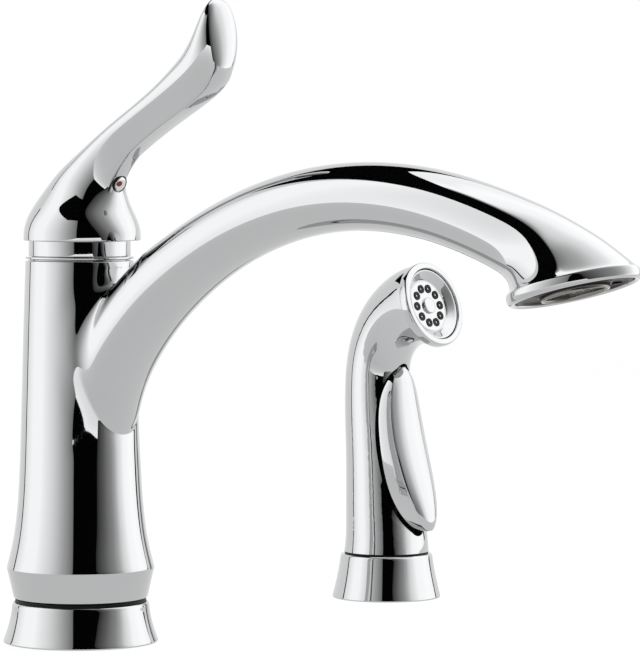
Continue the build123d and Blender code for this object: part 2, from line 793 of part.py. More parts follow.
with BuildPart() as aerator_screens:
    for depth in screen_depths:
        with BuildSketch(outlet.offset(-depth)) as screen:
            Circle(screen_radius)
            for circle_radius, count in screen_circles:
                with PolarLocations(circle_radius, count):
                    Circle(screen_hole_radius, mode=Mode.SUBTRACT)
        extrude(screen.sketch, amount=-screen_thickness)
finish(aerator_screens, "aerator_screens")

with BuildPart() as aerator_washer:
    ring_on(outlet, aerator_socket_radius, screen_radius, -aerator_depth, -washer_depth)
finish(aerator_washer, "aerator_washer")

# Handle: dome and lever in one casting, hollow over the cap ring
stem_face = stem_width / 2
screw_end = stem_face + set_screw_length
screw_axis = Plane(origin=(0, 0, button_height), x_dir=(1, 0, 0), z_dir=(0, -1, 0))
button_face = section_plane(button_reach, button_height, button_lean)
with BuildPart() as handle:
    loft([lever_section(*section) for section in handle_sections])
    with BuildSketch(Plane.XZ.offset(dome_reach)):
        Polygon(
            (0, dome_rim_height),
            (dome_rim_radius - dome_lip, dome_rim_height),
            (dome_shelf_radius, dome_shelf_height),
            (dome_ceiling_radius, dome_ceiling_height),
            (0, dome_ceiling_height),
            align=None,
        )
    revolve(axis=Axis((0, -dome_reach, 0), (0, 0, 1)), mode=Mode.SUBTRACT)
    ring(boss_radius, 0, boss_bottom, dome_ceiling_height)
    with BuildSketch(Plane.XY.offset(boss_bottom)):
        Rectangle(stem_width + 2 * stem_hole_gap, stem_width + 2 * stem_hole_gap)
    extrude(amount=stem_top + stem_hole_gap - boss_bottom, mode=Mode.SUBTRACT)
    ring_on(screw_axis, set_screw_diameter / 2, 0, stem_face, screw_end, Mode.SUBTRACT)
    ring_on(screw_axis, key_hole_radius, 0, screw_end, key_hole_reach, Mode.SUBTRACT)
    ring_on(button_face, button_diameter / 2, 0, -button_depth, cut_past, Mode.SUBTRACT)
finish(handle, "handle")

with BuildPart() as set_screw:
    ring_on(screw_axis, set_screw_diameter / 2, 0, stem_face, screw_end)
    with BuildSketch(screw_axis.offset(screw_end)):
        RegularPolygon(hex_key_size / 2, 6, major_radius=False)
    extrude(amount=-hex_key_depth, mode=Mode.SUBTRACT)
finish(set_screw, "set_screw")

with BuildPart() as temperature_button:
    ring_on(button_face, button_diameter / 2, 0, -button_depth, 0)
    fillet(temperature_button.faces().sort_by(Axis.Y)[0].edges(), soft_edge)
finish(temperature_button, "temperature_button")

# Sprayer holder: chrome flare round a threaded plastic shank, clamped under the deck
holder_axis = Axis((sprayer_x, 0, 0), (0, 0, 1))
holder_shank_radius = holder_shank_diameter / 2
holder_bore_radius = holder_shank_bore_diameter / 2
with BuildPart() as spray_holder:
    with BuildSketch(Plane(origin=(sprayer_x, 0, 0), x_dir=(1, 0, 0), z_dir=(0, -1, 0))):
        with BuildLine():
            holder_foot = holder_diameter / 2
            holder_crown = holder_top_diameter / 2
            holder_inner = holder_crown - holder_wall
            web_top = holder_gasket_height + holder_web
            edge = Line((holder_foot, 0), (holder_foot, holder_edge))
            flare = Spline(edge @ 1, (holder_crown, holder_height), tangents=[(-0.35, 1), (-0.12, 1)])
            Polyline(
                flare @ 1,
                (holder_inner, holder_height),
                (holder_inner, web_top),
                (holder_shank_radius + free_gap, web_top),
                (holder_shank_radius + free_gap, holder_gasket_height),
                (holder_foot - holder_wall, holder_gasket_height),
                (holder_foot - holder_wall, 0),
                edge @ 0,
            )
        make_face()
    revolve(axis=holder_axis)
finish(spray_holder, "spray_holder")

with BuildPart() as holder_gasket:
    ring(holder_foot - holder_wall, holder_shank_radius + free_gap, 0, holder_gasket_height, sprayer_x)
finish(holder_gasket, "holder_gasket")

with BuildPart() as holder_shank:
    ring(holder_shank_radius, holder_bore_radius, holder_shank_bottom, holder_lip_top, sprayer_x)
    ring(holder_inner, holder_bore_radius, holder_height - holder_collar_height, holder_height, sprayer_x)
    ring(holder_crown - holder_lip_inset, holder_bore_radius, holder_height, holder_lip_top, sprayer_x)
finish(holder_shank, "holder_shank")

holder_nut_top = -deck_thickness - holder_washer_height
with BuildPart() as holder_washer:
    ring(holder_washer_diameter / 2, holder_shank_radius, holder_nut_top, -deck_thickness, sprayer_x)
finish(holder_washer, "holder_washer")

with BuildPart() as holder_nut:
    with BuildSketch(Plane((sprayer_x, 0, holder_nut_top))):
        RegularPolygon(holder_nut_diameter / 2, 6)
        Circle(holder_shank_radius, mode=Mode.SUBTRACT)
    extrude(amount=-holder_nut_height)
finish(holder_nut, "holder_nut")

# Sprayer shell, with a leaf-shaped window for the trigger
face = section_plane(face_reach, face_height, face_tilt, sprayer_x)
pivot = Plane(
    origin=(sprayer_x, -trigger_pivot_reach, trigger_pivot_height), x_dir=(0, -1, 0), z_dir=(1, 0, 0)
)
with BuildPart() as spray_body:
    round_loft(sprayer_stations, sprayer_floor, sprayer_x)
    round_loft(sprayer_stations, sprayer_floor, sprayer_x, shrink=sprayer_wall, mode=Mode.SUBTRACT)
    swing = sin(radians(trigger_angle))
    side = []
    widest = max(section[1] for section in trigger_sections)
    lowering = 0.0
    for rise, half_width, side_reach, ridge_half_width, ridge_reach in trigger_sections:
        if half_width == widest:
            lowering = swing
        drop = (ridge_reach - trigger_pivot_reach) * lowering
        side.append((half_width + window_gap, sprayer_floor + rise - drop))
    with BuildSketch(Plane(origin=(sprayer_x, -window_reach, 0), x_dir=(1, 0, 0), z_dir=(0, -1, 0))):
        with BuildLine():
            right = Spline(*side)
            left = Spline(*[(-x, z) for x, z in side])
            top_z = side[0][1] + window_tip
            bottom_z = side[-1][1] - window_tip
            ThreePointArc(left @ 0, (0, top_z), right @ 0)
            ThreePointArc(left @ 1, (0, bottom_z), right @ 1)
        make_face()
    extrude(amount=face_reach, mode=Mode.SUBTRACT)
    ring_on(pivot, trigger_pin_radius, 0, -trigger_pin_length / 2, trigger_pin_length / 2, Mode.SUBTRACT)
finish(spray_body, "spray_body")

# Sprayer waterway: tail, riser, valve boss and the manifold behind the plate, in one piece
plate_back = plate_depth + plate_thickness
manifold_back = plate_back + manifold_thickness
manifold_station = (
    face_reach - manifold_back * cos(radians(face_tilt)),
    face_rise - manifold_back * sin(radians(face_tilt)),
    face_tilt,
)
riser = core_stations + [manifold_station]
foot_radius = sprayer_stations[1][3] - sprayer_wall
valve_axis = Plane(origin=(sprayer_x, 0, valve_height), x_dir=(1, 0, 0), z_dir=(0, -1, 0))
stem_bore_radius = valve_stem_radius + running_gap
valve_collar_back = valve_collar_reach - valve_collar_thickness
screw_depth = plate_depth + plate_screw_length
with BuildPart() as spray_core:
    round_loft(riser, sprayer_floor, sprayer_x, radius=core_radius)
    ring(foot_radius, 0, sprayer_floor, sprayer_floor + core_foot_height, sprayer_x)
    ring(holder_bore_radius - sprayer_tail_gap, 0, tail_bottom_height, sprayer_floor, sprayer_x)
    ring(tail_neck_radius, 0, tail_neck_bottom, tail_bottom_height, sprayer_x)
    ring_on(valve_axis, valve_boss_radius, 0, valve_boss_back, valve_boss_reach)
    ring_on(face, manifold_radius, 0, -manifold_back, -plate_back)
    ring_on(valve_axis, stem_bore_radius, 0, valve_collar_back, valve_boss_reach, Mode.SUBTRACT)
    ring_on(valve_axis, spring_pocket_radius, 0, spring_pocket_back, valve_collar_back, Mode.SUBTRACT)
    recess_bottom = plate_back + manifold_recess
    ring_on(face, manifold_recess_radius, manifold_post_radius, -recess_bottom, -plate_back, Mode.SUBTRACT)
    ring_on(face, plate_screw_radius, 0, -screw_depth, -plate_back, Mode.SUBTRACT)
    with BuildSketch(face.offset(-recess_bottom)) as feeds:
        with PolarLocations(feed_circle_radius, feed_count):
            Circle(feed_radius)
    extrude(feeds.sketch, amount=-manifold_thickness, mode=Mode.SUBTRACT)
    tail_end = (0.0, tail_neck_bottom - cut_past - sprayer_floor, 90.0)
    round_loft([tail_end] + riser, sprayer_floor, sprayer_x, core_bore_radius, mode=Mode.SUBTRACT)
finish(spray_core, "spray_core")

# Sprayer head: chrome ring, dished plate, nozzles and the screw that holds the plate
with BuildPart() as head_ring:
    ring_on(face, head_ring_diameter / 2, head_ring_opening / 2, -head_ring_depth, 0)
    circles = head_ring.edges().filter_by(GeomType.CIRCLE)
    fillet(circles.group_by(SortBy.RADIUS)[-1].sort_by(Axis.Y)[0], head_ring_edge)
finish(head_ring, "head_ring")

face_section = Plane(origin=face.origin, x_dir=face.x_dir, z_dir=face.x_dir.cross(face.z_dir))
with BuildPart() as spray_plate:
    with BuildSketch(face_section):
        dish_radius = head_ring_opening / 2
        Polygon(
            (0, -plate_depth),
            (plate_radius, -plate_depth),
            (dish_radius, -dish_rim_depth),
            (dish_radius, -dish_rim_depth - plate_thickness),
            (plate_radius, -plate_back),
            (0, -plate_back),
            align=None,
        )
    revolve(axis=Axis(face.origin, face.z_dir))
    ring_on(face, plate_screw_radius, 0, -plate_back, -plate_depth, Mode.SUBTRACT)
    with BuildSketch(face.offset(-plate_depth)) as holes:
        with PolarLocations(nozzle_circle_radius, nozzle_count):
            Circle(nozzle_radius)
    extrude(holes.sketch, amount=-plate_thickness, mode=Mode.SUBTRACT)
finish(spray_plate, "spray_plate")

with BuildPart() as spray_nozzles:
    with BuildSketch(face.offset(nozzle_stand - plate_depth)):
        with PolarLocations(nozzle_circle_radius, nozzle_count):
            Circle(nozzle_radius)
            Circle(nozzle_bore_radius, mode=Mode.SUBTRACT)
    extrude(amount=-nozzle_length)
finish(spray_nozzles, "spray_nozzles")

with BuildPart() as plate_screw:
    ring_on(face, boss_cap_radius, 0, -plate_depth, boss_cap_height - plate_depth)
    fillet(plate_screw.faces().sort_by(Axis.Y)[0].edges(), boss_cap_edge)
    ring_on(face, plate_screw_radius, 0, -screw_depth, -plate_depth)
finish(plate_screw, "plate_screw")

# Hose coupling on the sprayer's tail
coupling_seat = tail_neck_bottom - coupling_washer_height
with BuildPart() as hose_coupling:
    ring(coupling_radius, coupling_bore_radius, coupling_bottom, coupling_seat, sprayer_x)
    ring(coupling_radius, tail_neck_radius, coupling_seat, coupling_top, sprayer_x)
finish(hose_coupling, "hose_coupling")

with BuildPart() as coupling_washer:
    ring(tail_neck_radius, core_bore_radius, coupling_seat, tail_neck_bottom, sprayer_x)
finish(coupling_washer, "coupling_washer")

# Trigger: a leaf-shaped paddle with a raised ridge, hinged at its top
with BuildPart() as spray_trigger:
    leaves = []
    for rise, half_width, side_reach, ridge_half_width, ridge_reach in trigger_sections:
        with BuildSketch(Plane((sprayer_x, 0, sprayer_floor + rise))) as leaf:
            with BuildLine():
                flank = Polyline(
                    (ridge_half_width, -ridge_reach),
                    (half_width, -side_reach),
                    (half_width, trigger_edge - side_reach),
                    (-half_width, trigger_edge - side_reach),
                    (-half_width, -side_reach),
                    (-ridge_half_width, -ridge_reach),
                )
                ThreePointArc(flank @ 1, (0, -ridge_reach - trigger_bulge), flank @ 0)
            make_face()
        leaves.append(leaf.sketch)
    loft(leaves)
    half_lug = trigger_lug_width / 2
    ring_on(pivot, trigger_lug_radius, 0, -half_lug, half_lug)
    with BuildSketch(pivot.offset(-half_lug)) as web:
        web_length = trigger_sections[1][2] - trigger_pivot_reach
        Rectangle(web_length, 2 * trigger_lug_radius, align=(Align.MIN, Align.CENTER))
    extrude(web.sketch, amount=trigger_lug_width)
    ring_on(pivot, trigger_pin_radius + running_gap, 0, -half_lug, half_lug, Mode.SUBTRACT)
finish(spray_trigger, "spray_trigger")

with BuildPart() as trigger_pin:
    ring_on(pivot, trigger_pin_radius, 0, -trigger_pin_length / 2, trigger_pin_length / 2)
finish(trigger_pin, "trigger_pin")

# Valve that the trigger pushes open, and its return spring
side_reach_at_valve = min(trigger_sections, key=lambda section: abs(section[0] - valve_rise))[2]
with BuildPart() as valve_stem:
    stem_front = side_reach_at_valve - trigger_edge - free_gap
    ring_on(valve_axis, valve_stem_radius, 0, valve_collar_back, stem_front)
    ring_on(valve_axis, valve_collar_radius, 0, valve_collar_back, valve_collar_reach)
finish(valve_stem, "valve_stem")

with BuildPart() as trigger_spring:
    spring_coil(
        valve_axis.offset(spring_pocket_back),
        trigger_spring_radius,
        spring_wire_radius,
        valve_collar_back - spring_pocket_back,
        trigger_spring_turns,
    )
finish(trigger_spring, "trigger_spring")
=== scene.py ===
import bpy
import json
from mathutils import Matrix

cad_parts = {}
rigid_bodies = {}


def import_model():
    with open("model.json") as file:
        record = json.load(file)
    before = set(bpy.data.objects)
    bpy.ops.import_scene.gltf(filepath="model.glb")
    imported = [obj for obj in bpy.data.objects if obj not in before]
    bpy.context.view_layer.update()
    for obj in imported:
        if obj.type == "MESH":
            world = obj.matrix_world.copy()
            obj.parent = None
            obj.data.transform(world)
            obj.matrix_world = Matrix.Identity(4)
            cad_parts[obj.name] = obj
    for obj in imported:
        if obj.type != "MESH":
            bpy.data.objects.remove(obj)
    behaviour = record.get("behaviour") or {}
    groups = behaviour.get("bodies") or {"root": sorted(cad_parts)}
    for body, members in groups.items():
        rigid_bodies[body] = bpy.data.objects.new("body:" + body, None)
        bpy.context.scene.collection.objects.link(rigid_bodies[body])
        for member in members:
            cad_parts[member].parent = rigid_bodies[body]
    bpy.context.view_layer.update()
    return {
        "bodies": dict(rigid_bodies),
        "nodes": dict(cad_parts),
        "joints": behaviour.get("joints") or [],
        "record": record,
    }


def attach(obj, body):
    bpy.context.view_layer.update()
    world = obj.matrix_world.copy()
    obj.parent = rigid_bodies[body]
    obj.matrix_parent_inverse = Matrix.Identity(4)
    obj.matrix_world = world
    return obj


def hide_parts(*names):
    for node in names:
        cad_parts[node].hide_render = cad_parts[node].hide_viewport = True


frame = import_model()

import json
from math import asin, atan, cos, log, pi, radians, sin

import bmesh
import bpy
from mathutils import Matrix, Vector

nodes = frame["nodes"]

# Camera: a long lens a little above the body, looking across the faucet from its left front, so
# that the spout runs away to the right and the sprayer stands under it.
first_view = radians(40)
view_turn = radians(39.62)
dip = radians(2.534)
camera_distance = 1.3683
camera_shift = 0.09005
camera_height = 0.1789
sensor_width = 36
focal_pixels = 3650.3
photo_pixels = 654
camera_place = Vector((-cos(view_turn), -sin(view_turn), 0)) * camera_distance
camera_place += Vector((sin(view_turn), -cos(view_turn), 0)) * camera_shift + Vector((0, 0, camera_height))
sight = Vector((cos(dip) * cos(view_turn), cos(dip) * sin(view_turn), -sin(dip)))
right_hand = Vector((sin(view_turn), -cos(view_turn), 0))
camera = bpy.data.objects.new("camera", bpy.data.cameras.new("camera"))
bpy.context.scene.collection.objects.link(camera)
camera.data.sensor_width = sensor_width
camera.data.lens = sensor_width * focal_pixels / photo_pixels
camera.data.clip_start = 0.05
camera.data.clip_end = 50
axes = Matrix((right_hand, right_hand.cross(sight), -sight)).transposed().to_4x4()
camera.matrix_world = Matrix.Translation(camera_place) @ axes
bpy.context.scene.camera = camera
bpy.context.scene.view_settings.view_transform = "Standard"


# Floor and surround: a white sweep. It is plain white to the camera and keeps the soft shadow of the
# faucet.
# The chrome sees it with painted shade: pale grey in front, darkest near the faucet, and white behind.
def new_material(name):
    material = bpy.data.materials.new(name)
    material.use_nodes = True
    material.node_tree.nodes.clear()
    return material


def add_node(tree, kind, operation=None, **sockets):
    node = tree.nodes.new(kind)
    if operation:
        node.operation = operation
    for name, value in sockets.items():
        node.inputs[name.replace("_", " ")].default_value = value
    return node


def add_object(name, mesh):
    made = bpy.data.objects.new(name, mesh)
    bpy.context.scene.collection.objects.link(made)
    return made


world = bpy.data.worlds.new("surround")
bpy.context.scene.world = world
world.use_nodes = True
world.node_tree.nodes["Background"].inputs["Color"].default_value = (1, 1, 1, 1)
world.node_tree.nodes["Background"].inputs["Strength"].default_value = 1.0

floor_white = new_material("floor_white")
tree = floor_white.node_tree
floor_paint = add_node(tree, "ShaderNodeBsdfDiffuse", Color=(0.8, 0.8, 0.8, 1))
floor_shade = add_node(tree, "ShaderNodeBsdfDiffuse", Color=(0.14, 0.14, 0.14, 1))
floor_glow = add_node(tree, "ShaderNodeEmission", Color=(1, 1, 1, 1), Strength=0.92)
floor_white_look = add_node(tree, "ShaderNodeAddShader")
floor_seen_in = add_node(tree, "ShaderNodeMath", "MAXIMUM")
floor_peak = 1.5
floor_shine = add_node(tree, "ShaderNodeEmission", Strength=floor_peak)
floor_ray = add_node(tree, "ShaderNodeLightPath")
floor_place = add_node(tree, "ShaderNodeTexCoord")
floor_far = add_node(tree, "ShaderNodeVectorMath", "DOT_PRODUCT")
floor_far.inputs[1].default_value = (cos(first_view), sin(first_view), 0)
floor_behind = add_node(tree, "ShaderNodeMapRange")
floor_behind.inputs["From Min"].default_value = -0.2
floor_behind.inputs["From Max"].default_value = 0.4
floor_distance = add_node(tree, "ShaderNodeVectorMath", "LENGTH")
# Painted shade: the floor the chrome sees is darkest near the faucet in front and brighter further off.
painted_floor_shade = add_node(tree, "ShaderNodeValToRGB")
painted_shade_levels = [(0.0, 0.76), (0.05, 0.78), (0.13, 0.85), (0.24, 1.0), (0.42, 1.22), (0.75, 1.4)]
while len(painted_floor_shade.color_ramp.elements) < len(painted_shade_levels):
    painted_floor_shade.color_ramp.elements.new(0.5)
for element, (position, level) in zip(painted_floor_shade.color_ramp.elements, painted_shade_levels):
    element.position = position
    element.color = (level / floor_peak, level / floor_peak, level / floor_peak, 1)
ramp_per_metre = 0.3
floor_metres = add_node(tree, "ShaderNodeMath", "MULTIPLY")
floor_metres.inputs[1].default_value = ramp_per_metre
floor_mix = add_node(tree, "ShaderNodeMix")
floor_mix.data_type = "RGBA"
floor_mix.inputs["B"].default_value = (0.64, 0.64, 0.64, 1)
seen = add_node(tree, "ShaderNodeMixShader")
mirrored = add_node(tree, "ShaderNodeMixShader")
floor_out = add_node(tree, "ShaderNodeOutputMaterial")
tree.links.new(floor_place.outputs["Object"], floor_far.inputs[0])
tree.links.new(floor_place.outputs["Object"], floor_distance.inputs[0])
tree.links.new(floor_far.outputs["Value"], floor_behind.inputs["Value"])
tree.links.new(floor_distance.outputs["Value"], floor_metres.inputs[0])
tree.links.new(floor_metres.outputs[0], painted_floor_shade.inputs[0])
tree.links.new(painted_floor_shade.outputs["Color"], floor_mix.inputs["A"])
tree.links.new(floor_behind.outputs["Result"], floor_mix.inputs["Factor"])
tree.links.new(floor_mix.outputs["Result"], floor_shine.inputs["Color"])
tree.links.new(floor_ray.outputs["Is Glossy Ray"], floor_seen_in.inputs[0])
tree.links.new(floor_ray.outputs["Is Transmission Ray"], floor_seen_in.inputs[1])
tree.links.new(floor_seen_in.outputs[0], mirrored.inputs[0])
tree.links.new(floor_shade.outputs[0], floor_white_look.inputs[0])
tree.links.new(floor_glow.outputs[0], floor_white_look.inputs[1])
tree.links.new(floor_paint.outputs[0], mirrored.inputs[1])
tree.links.new(floor_shine.outputs[0], mirrored.inputs[2])
tree.links.new(floor_ray.outputs["Is Camera Ray"], seen.inputs[0])
tree.links.new(mirrored.outputs[0], seen.inputs[1])
tree.links.new(floor_white_look.outputs[0], seen.inputs[2])
tree.links.new(seen.outputs[0], floor_out.inputs[0])
floor_mesh = bpy.data.meshes.new("floor")
floor_shape = bmesh.new()
floor_drop = Matrix.Translation((0, 0, -0.0002))
bmesh.ops.create_grid(floor_shape, x_segments=1, y_segments=1, size=6, matrix=floor_drop)
floor_shape.to_mesh(floor_mesh)
floor_shape.free()
floor_mesh.materials.append(floor_white)
floor = add_object("floor", floor_mesh)


# Soft boxes and black cards: the chrome shows them, and the camera doesn't see them. Their places
# are metres towards the first view, across to its right, and up.
def studio_point(towards, across, up):
    side = Vector((sin(first_view), -cos(first_view), 0))
    return Vector((-cos(first_view), -sin(first_view), 0)) * towards + side * across + Vector((0, 0, up))


def studio_card(name, corners, material):
    shape = bmesh.new()
    shape.faces.new([shape.verts.new(studio_point(*corner)) for corner in corners])
    mesh = bpy.data.meshes.new(name)
    shape.to_mesh(mesh)
    shape.free()
    mesh.materials.append(material)
    card = add_object(name, mesh)
    card.visible_camera = False
    card.visible_shadow = False


cloth_peak = 2.0


def light_cloth(name, start, end, levels, tighter):
    """White cloth whose brightness runs from one studio point to another, tighter higher up."""
    material = new_material(name)
    tree = material.node_tree
    run = end - start
    place = add_node(tree, "ShaderNodeTexCoord")
    along = add_node(tree, "ShaderNodeVectorMath", "DOT_PRODUCT")
    along.inputs[1].default_value = run / run.length_squared
    shift = add_node(tree, "ShaderNodeMath", "SUBTRACT")
    shift.inputs[1].default_value = start.dot(run) / run.length_squared
    height = add_node(tree, "ShaderNodeSeparateXYZ")
    narrow = add_node(tree, "ShaderNodeMapRange")
    narrow.inputs["From Min"].default_value = 0.1
    narrow.inputs["From Max"].default_value = 1.0
    narrow.inputs["To Min"].default_value = 1.0
    narrow.inputs["To Max"].default_value = tighter
    share = add_node(tree, "ShaderNodeMath", "DIVIDE")
    ramp = add_node(tree, "ShaderNodeValToRGB")
    elements = ramp.color_ramp.elements
    while len(elements) < len(levels):
        elements.new(0.5)
    for element, (position, level) in zip(elements, levels):
        element.position = position
        element.color = (level / cloth_peak, level / cloth_peak, level / cloth_peak, 1)
    glow = add_node(tree, "ShaderNodeEmission", Strength=cloth_peak)
    out = add_node(tree, "ShaderNodeOutputMaterial")
    tree.links.new(place.outputs["Object"], along.inputs[0])
    tree.links.new(place.outputs["Object"], height.inputs[0])
    tree.links.new(height.outputs["Z"], narrow.inputs["Value"])
    tree.links.new(along.outputs["Value"], shift.inputs[0])
    tree.links.new(shift.outputs[0], share.inputs[0])
    tree.links.new(narrow.outputs["Result"], share.inputs[1])
    tree.links.new(share.outputs[0], ramp.inputs[0])
    tree.links.new(ramp.outputs["Color"], glow.inputs["Color"])
    tree.links.new(glow.outputs[0], out.inputs[0])
    return material


black_card = new_material("black_card")
tree = black_card.node_tree
black_paint = add_node(tree, "ShaderNodeBsdfDiffuse", Color=(0.004, 0.004, 0.004, 1))
black_out = add_node(tree, "ShaderNodeOutputMaterial")
tree.links.new(black_paint.outputs[0], black_out.inputs[0])

left_levels = [
    (0.0, 0.2), (0.42, 0.40), (0.58, 0.55), (0.667, 0.72), (0.73, 0.92), (0.77, 1.09), (0.81, 1.26),
    (0.84, 1.41), (0.87, 1.6), (0.93, 1.6), (1.0, 1.2),
]
left_start = studio_point(3.0, -0.5, 0)
left_end = studio_point(-0.3, -0.5, 0)
left_cloth = light_cloth("left_cloth", left_start, left_end, left_levels, 1.0)
left_corners = [(3.0, -0.5, 0), (-0.3, -0.5, 0), (-0.3, -0.5, 0.56), (0.8, -0.5, 1.0), (3.0, -0.5, 2.9)]
studio_card("left_soft_box", left_corners, left_cloth)
right_levels = [
    (0.0, 0.03), (0.1, 0.16), (0.2, 0.39), (0.25, 0.65), (0.3, 1.1), (0.35, 1.35), (0.4, 1.6),
    (0.6, 1.7), (1.0, 1.5),
]
right_start = studio_point(0.509, 0.364, 0)
right_end = studio_point(-0.75, 0.96, 0)
right_cloth = light_cloth("right_cloth", right_start, right_end, right_levels, 0.3)
right_corners = [(0.509, 0.364, 0), (-0.75, 0.96, 0), (-0.9, -0.3, 1.7), (-0.03, -0.694, 1.8)]
studio_card("right_soft_box", right_corners, right_cloth)
black_cards = [
    ("ceiling", [(-3.3, -3, 3.0), (4, -3, 3.0), (4, 3, 3.0), (-3.3, 3, 3.0)]),
    ("camera_side", [(3.2, -1.2, 0), (3.2, 3.5, 0), (3.2, 3.5, 3.0), (3.2, -1.2, 3.0)]),
    ("left_strip", [(-0.31, -0.5, 0), (-0.35, -0.5, 0), (-0.35, -0.5, 0.5), (-0.31, -0.5, 0.5)]),
    ("right_strip", [(-0.76, 0.965, 0), (-0.88, 0.93, 0), (-0.88, 0.93, 1.2), (-0.76, 0.965, 1.2)]),
]
for card_name, card_corners in black_cards:
    studio_card(card_name, card_corners, black_card)


# Base ring: a flared trim ring of turned brass under chrome plate. It stands on the deck over its
# gasket and carries the black bearing ring on its top.
polish = bpy.data.node_groups.new("polish", "ShaderNodeTree")
polish.interface.new_socket(name="Vector", in_out="INPUT", socket_type="NodeSocketVector")
polish.interface.new_socket(name="Low", in_out="INPUT", socket_type="NodeSocketFloat")
polish.interface.new_socket(name="High", in_out="INPUT", socket_type="NodeSocketFloat")
polish.interface.new_socket(name="Roughness", in_out="OUTPUT", socket_type="NodeSocketFloat")
group_in = polish.nodes.new("NodeGroupInput")
group_out = polish.nodes.new("NodeGroupOutput")
haze = add_node(polish, "ShaderNodeTexNoise", Scale=55.0, Detail=4.0)
spread = add_node(polish, "ShaderNodeMapRange")
spread.inputs["From Min"].default_value = 0.3
spread.inputs["From Max"].default_value = 0.7
polish.links.new(group_in.outputs["Vector"], haze.inputs["Vector"])
polish.links.new(haze.outputs[0], spread.inputs["Value"])
polish.links.new(group_in.outputs["Low"], spread.inputs["To Min"])
polish.links.new(group_in.outputs["High"], spread.inputs["To Max"])
polish.links.new(spread.outputs["Result"], group_out.inputs["Roughness"])


def polished_metal(name, color, low, high):
    """Plated or bare metal with the faint uneven haze that polishing and wiping leave."""
    material = new_material(name)
    tree = material.node_tree
    place = add_node(tree, "ShaderNodeTexCoord")
    haze = tree.nodes.new("ShaderNodeGroup")
    haze.node_tree = polish
    haze.inputs["Low"].default_value = low
    haze.inputs["High"].default_value = high
    metal = add_node(tree, "ShaderNodeBsdfPrincipled", Metallic=1.0)
    metal.inputs["Base Color"].default_value = (*color, 1)
    out = add_node(tree, "ShaderNodeOutputMaterial")
    tree.links.new(place.outputs["Object"], haze.inputs["Vector"])
    tree.links.new(haze.outputs["Roughness"], metal.inputs["Roughness"])
    tree.links.new(metal.outputs[0], out.inputs[0])
    return material


def smooth_piece(name, shape, material, levels):
    """Turn a finished cage into a rounded object."""
    bmesh.ops.recalc_face_normals(shape, faces=shape.faces)
    mesh = bpy.data.meshes.new(name)
    shape.to_mesh(mesh)
    shape.free()
    mesh.materials.append(material)
    mesh.polygons.foreach_set("use_smooth", [True] * len(mesh.polygons))
    piece = add_object(name, mesh)
    rounding = piece.modifiers.new("rounding", "SUBSURF")
    rounding.levels = levels
    rounding.render_levels = levels
    return piece


def turned_cage(profile, place, steps=32):
    """Spin a profile, as (radius, height) in mm, round the axis of a placed frame. A profile that
    starts and ends on the axis is a solid of its own, and any other one is closed into a ring."""
    shape = bmesh.new()
    fuller = 1 / (2 / 3 + cos(2 * pi / steps) / 3)
    points = [shape.verts.new((radius * fuller / 1000, 0, height / 1000)) for radius, height in profile]
    following = points[1:] if profile[0][0] == 0 else points[1:] + points[:1]
    edges = [shape.edges.new((one, other)) for one, other in zip(points, following)]
    bmesh.ops.spin(shape, geom=points + edges, axis=(0, 0, 1), angle=2 * pi, steps=steps, use_merge=True)
    bmesh.ops.remove_doubles(shape, verts=shape.verts, dist=1e-7)
    bmesh.ops.transform(shape, matrix=place, verts=shape.verts)
    return shape


chrome_plate = polished_metal("chrome_plate", (0.56, 0.565, 0.57), 0.008, 0.03)
upright = Matrix.Identity(4)
base_profile = [
    (26.6, 0.0), (28.6, 0.0), (29.0, 0.15), (29.05, 0.6), (28.9, 1.1), (28.1, 3.2), (27.1, 6.4),
    (26.25, 10.0), (25.85, 12.8), (25.75, 14.2), (25.55, 14.9), (25.2, 15.2), (24.9, 15.1),
    (24.72, 14.7), (24.65, 14.5), (24.4, 14.48), (18.2, 14.48), (18.0, 14.3), (18.0, 11.7),
    (18.2, 11.5), (22.2, 11.5), (22.5, 11.2), (22.5, 6.2), (26.4, 4.4), (26.6, 4.2),
]
base_trim = smooth_piece("base_trim", turned_cage(base_profile, upright), chrome_plate, 2)
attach(base_trim, "base")
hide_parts("base_ring")


# Bearing ring, gaskets, seals and washers: black or dark rubber and moulded nylon, cut or moulded
# to size. Only the bearing ring shows, as the dark line over the base ring.
grain = bpy.data.node_groups.new("grain", "ShaderNodeTree")
grain.interface.new_socket(name="Vector", in_out="INPUT", socket_type="NodeSocketVector")
grain.interface.new_socket(name="Size", in_out="INPUT", socket_type="NodeSocketFloat")
grain.interface.new_socket(name="Height", in_out="OUTPUT", socket_type="NodeSocketFloat")
grain.interface.new_socket(name="Shade", in_out="OUTPUT", socket_type="NodeSocketFloat")
group_in = grain.nodes.new("NodeGroupInput")
group_out = grain.nodes.new("NodeGroupOutput")
specks = add_node(grain, "ShaderNodeTexNoise", Detail=3.0)
clouds = add_node(grain, "ShaderNodeTexNoise", Scale=40.0, Detail=2.0)
grain.links.new(group_in.outputs["Vector"], specks.inputs["Vector"])
grain.links.new(group_in.outputs["Size"], specks.inputs["Scale"])
grain.links.new(group_in.outputs["Vector"], clouds.inputs["Vector"])
grain.links.new(specks.outputs[0], group_out.inputs["Height"])
grain.links.new(clouds.outputs[0], group_out.inputs["Shade"])


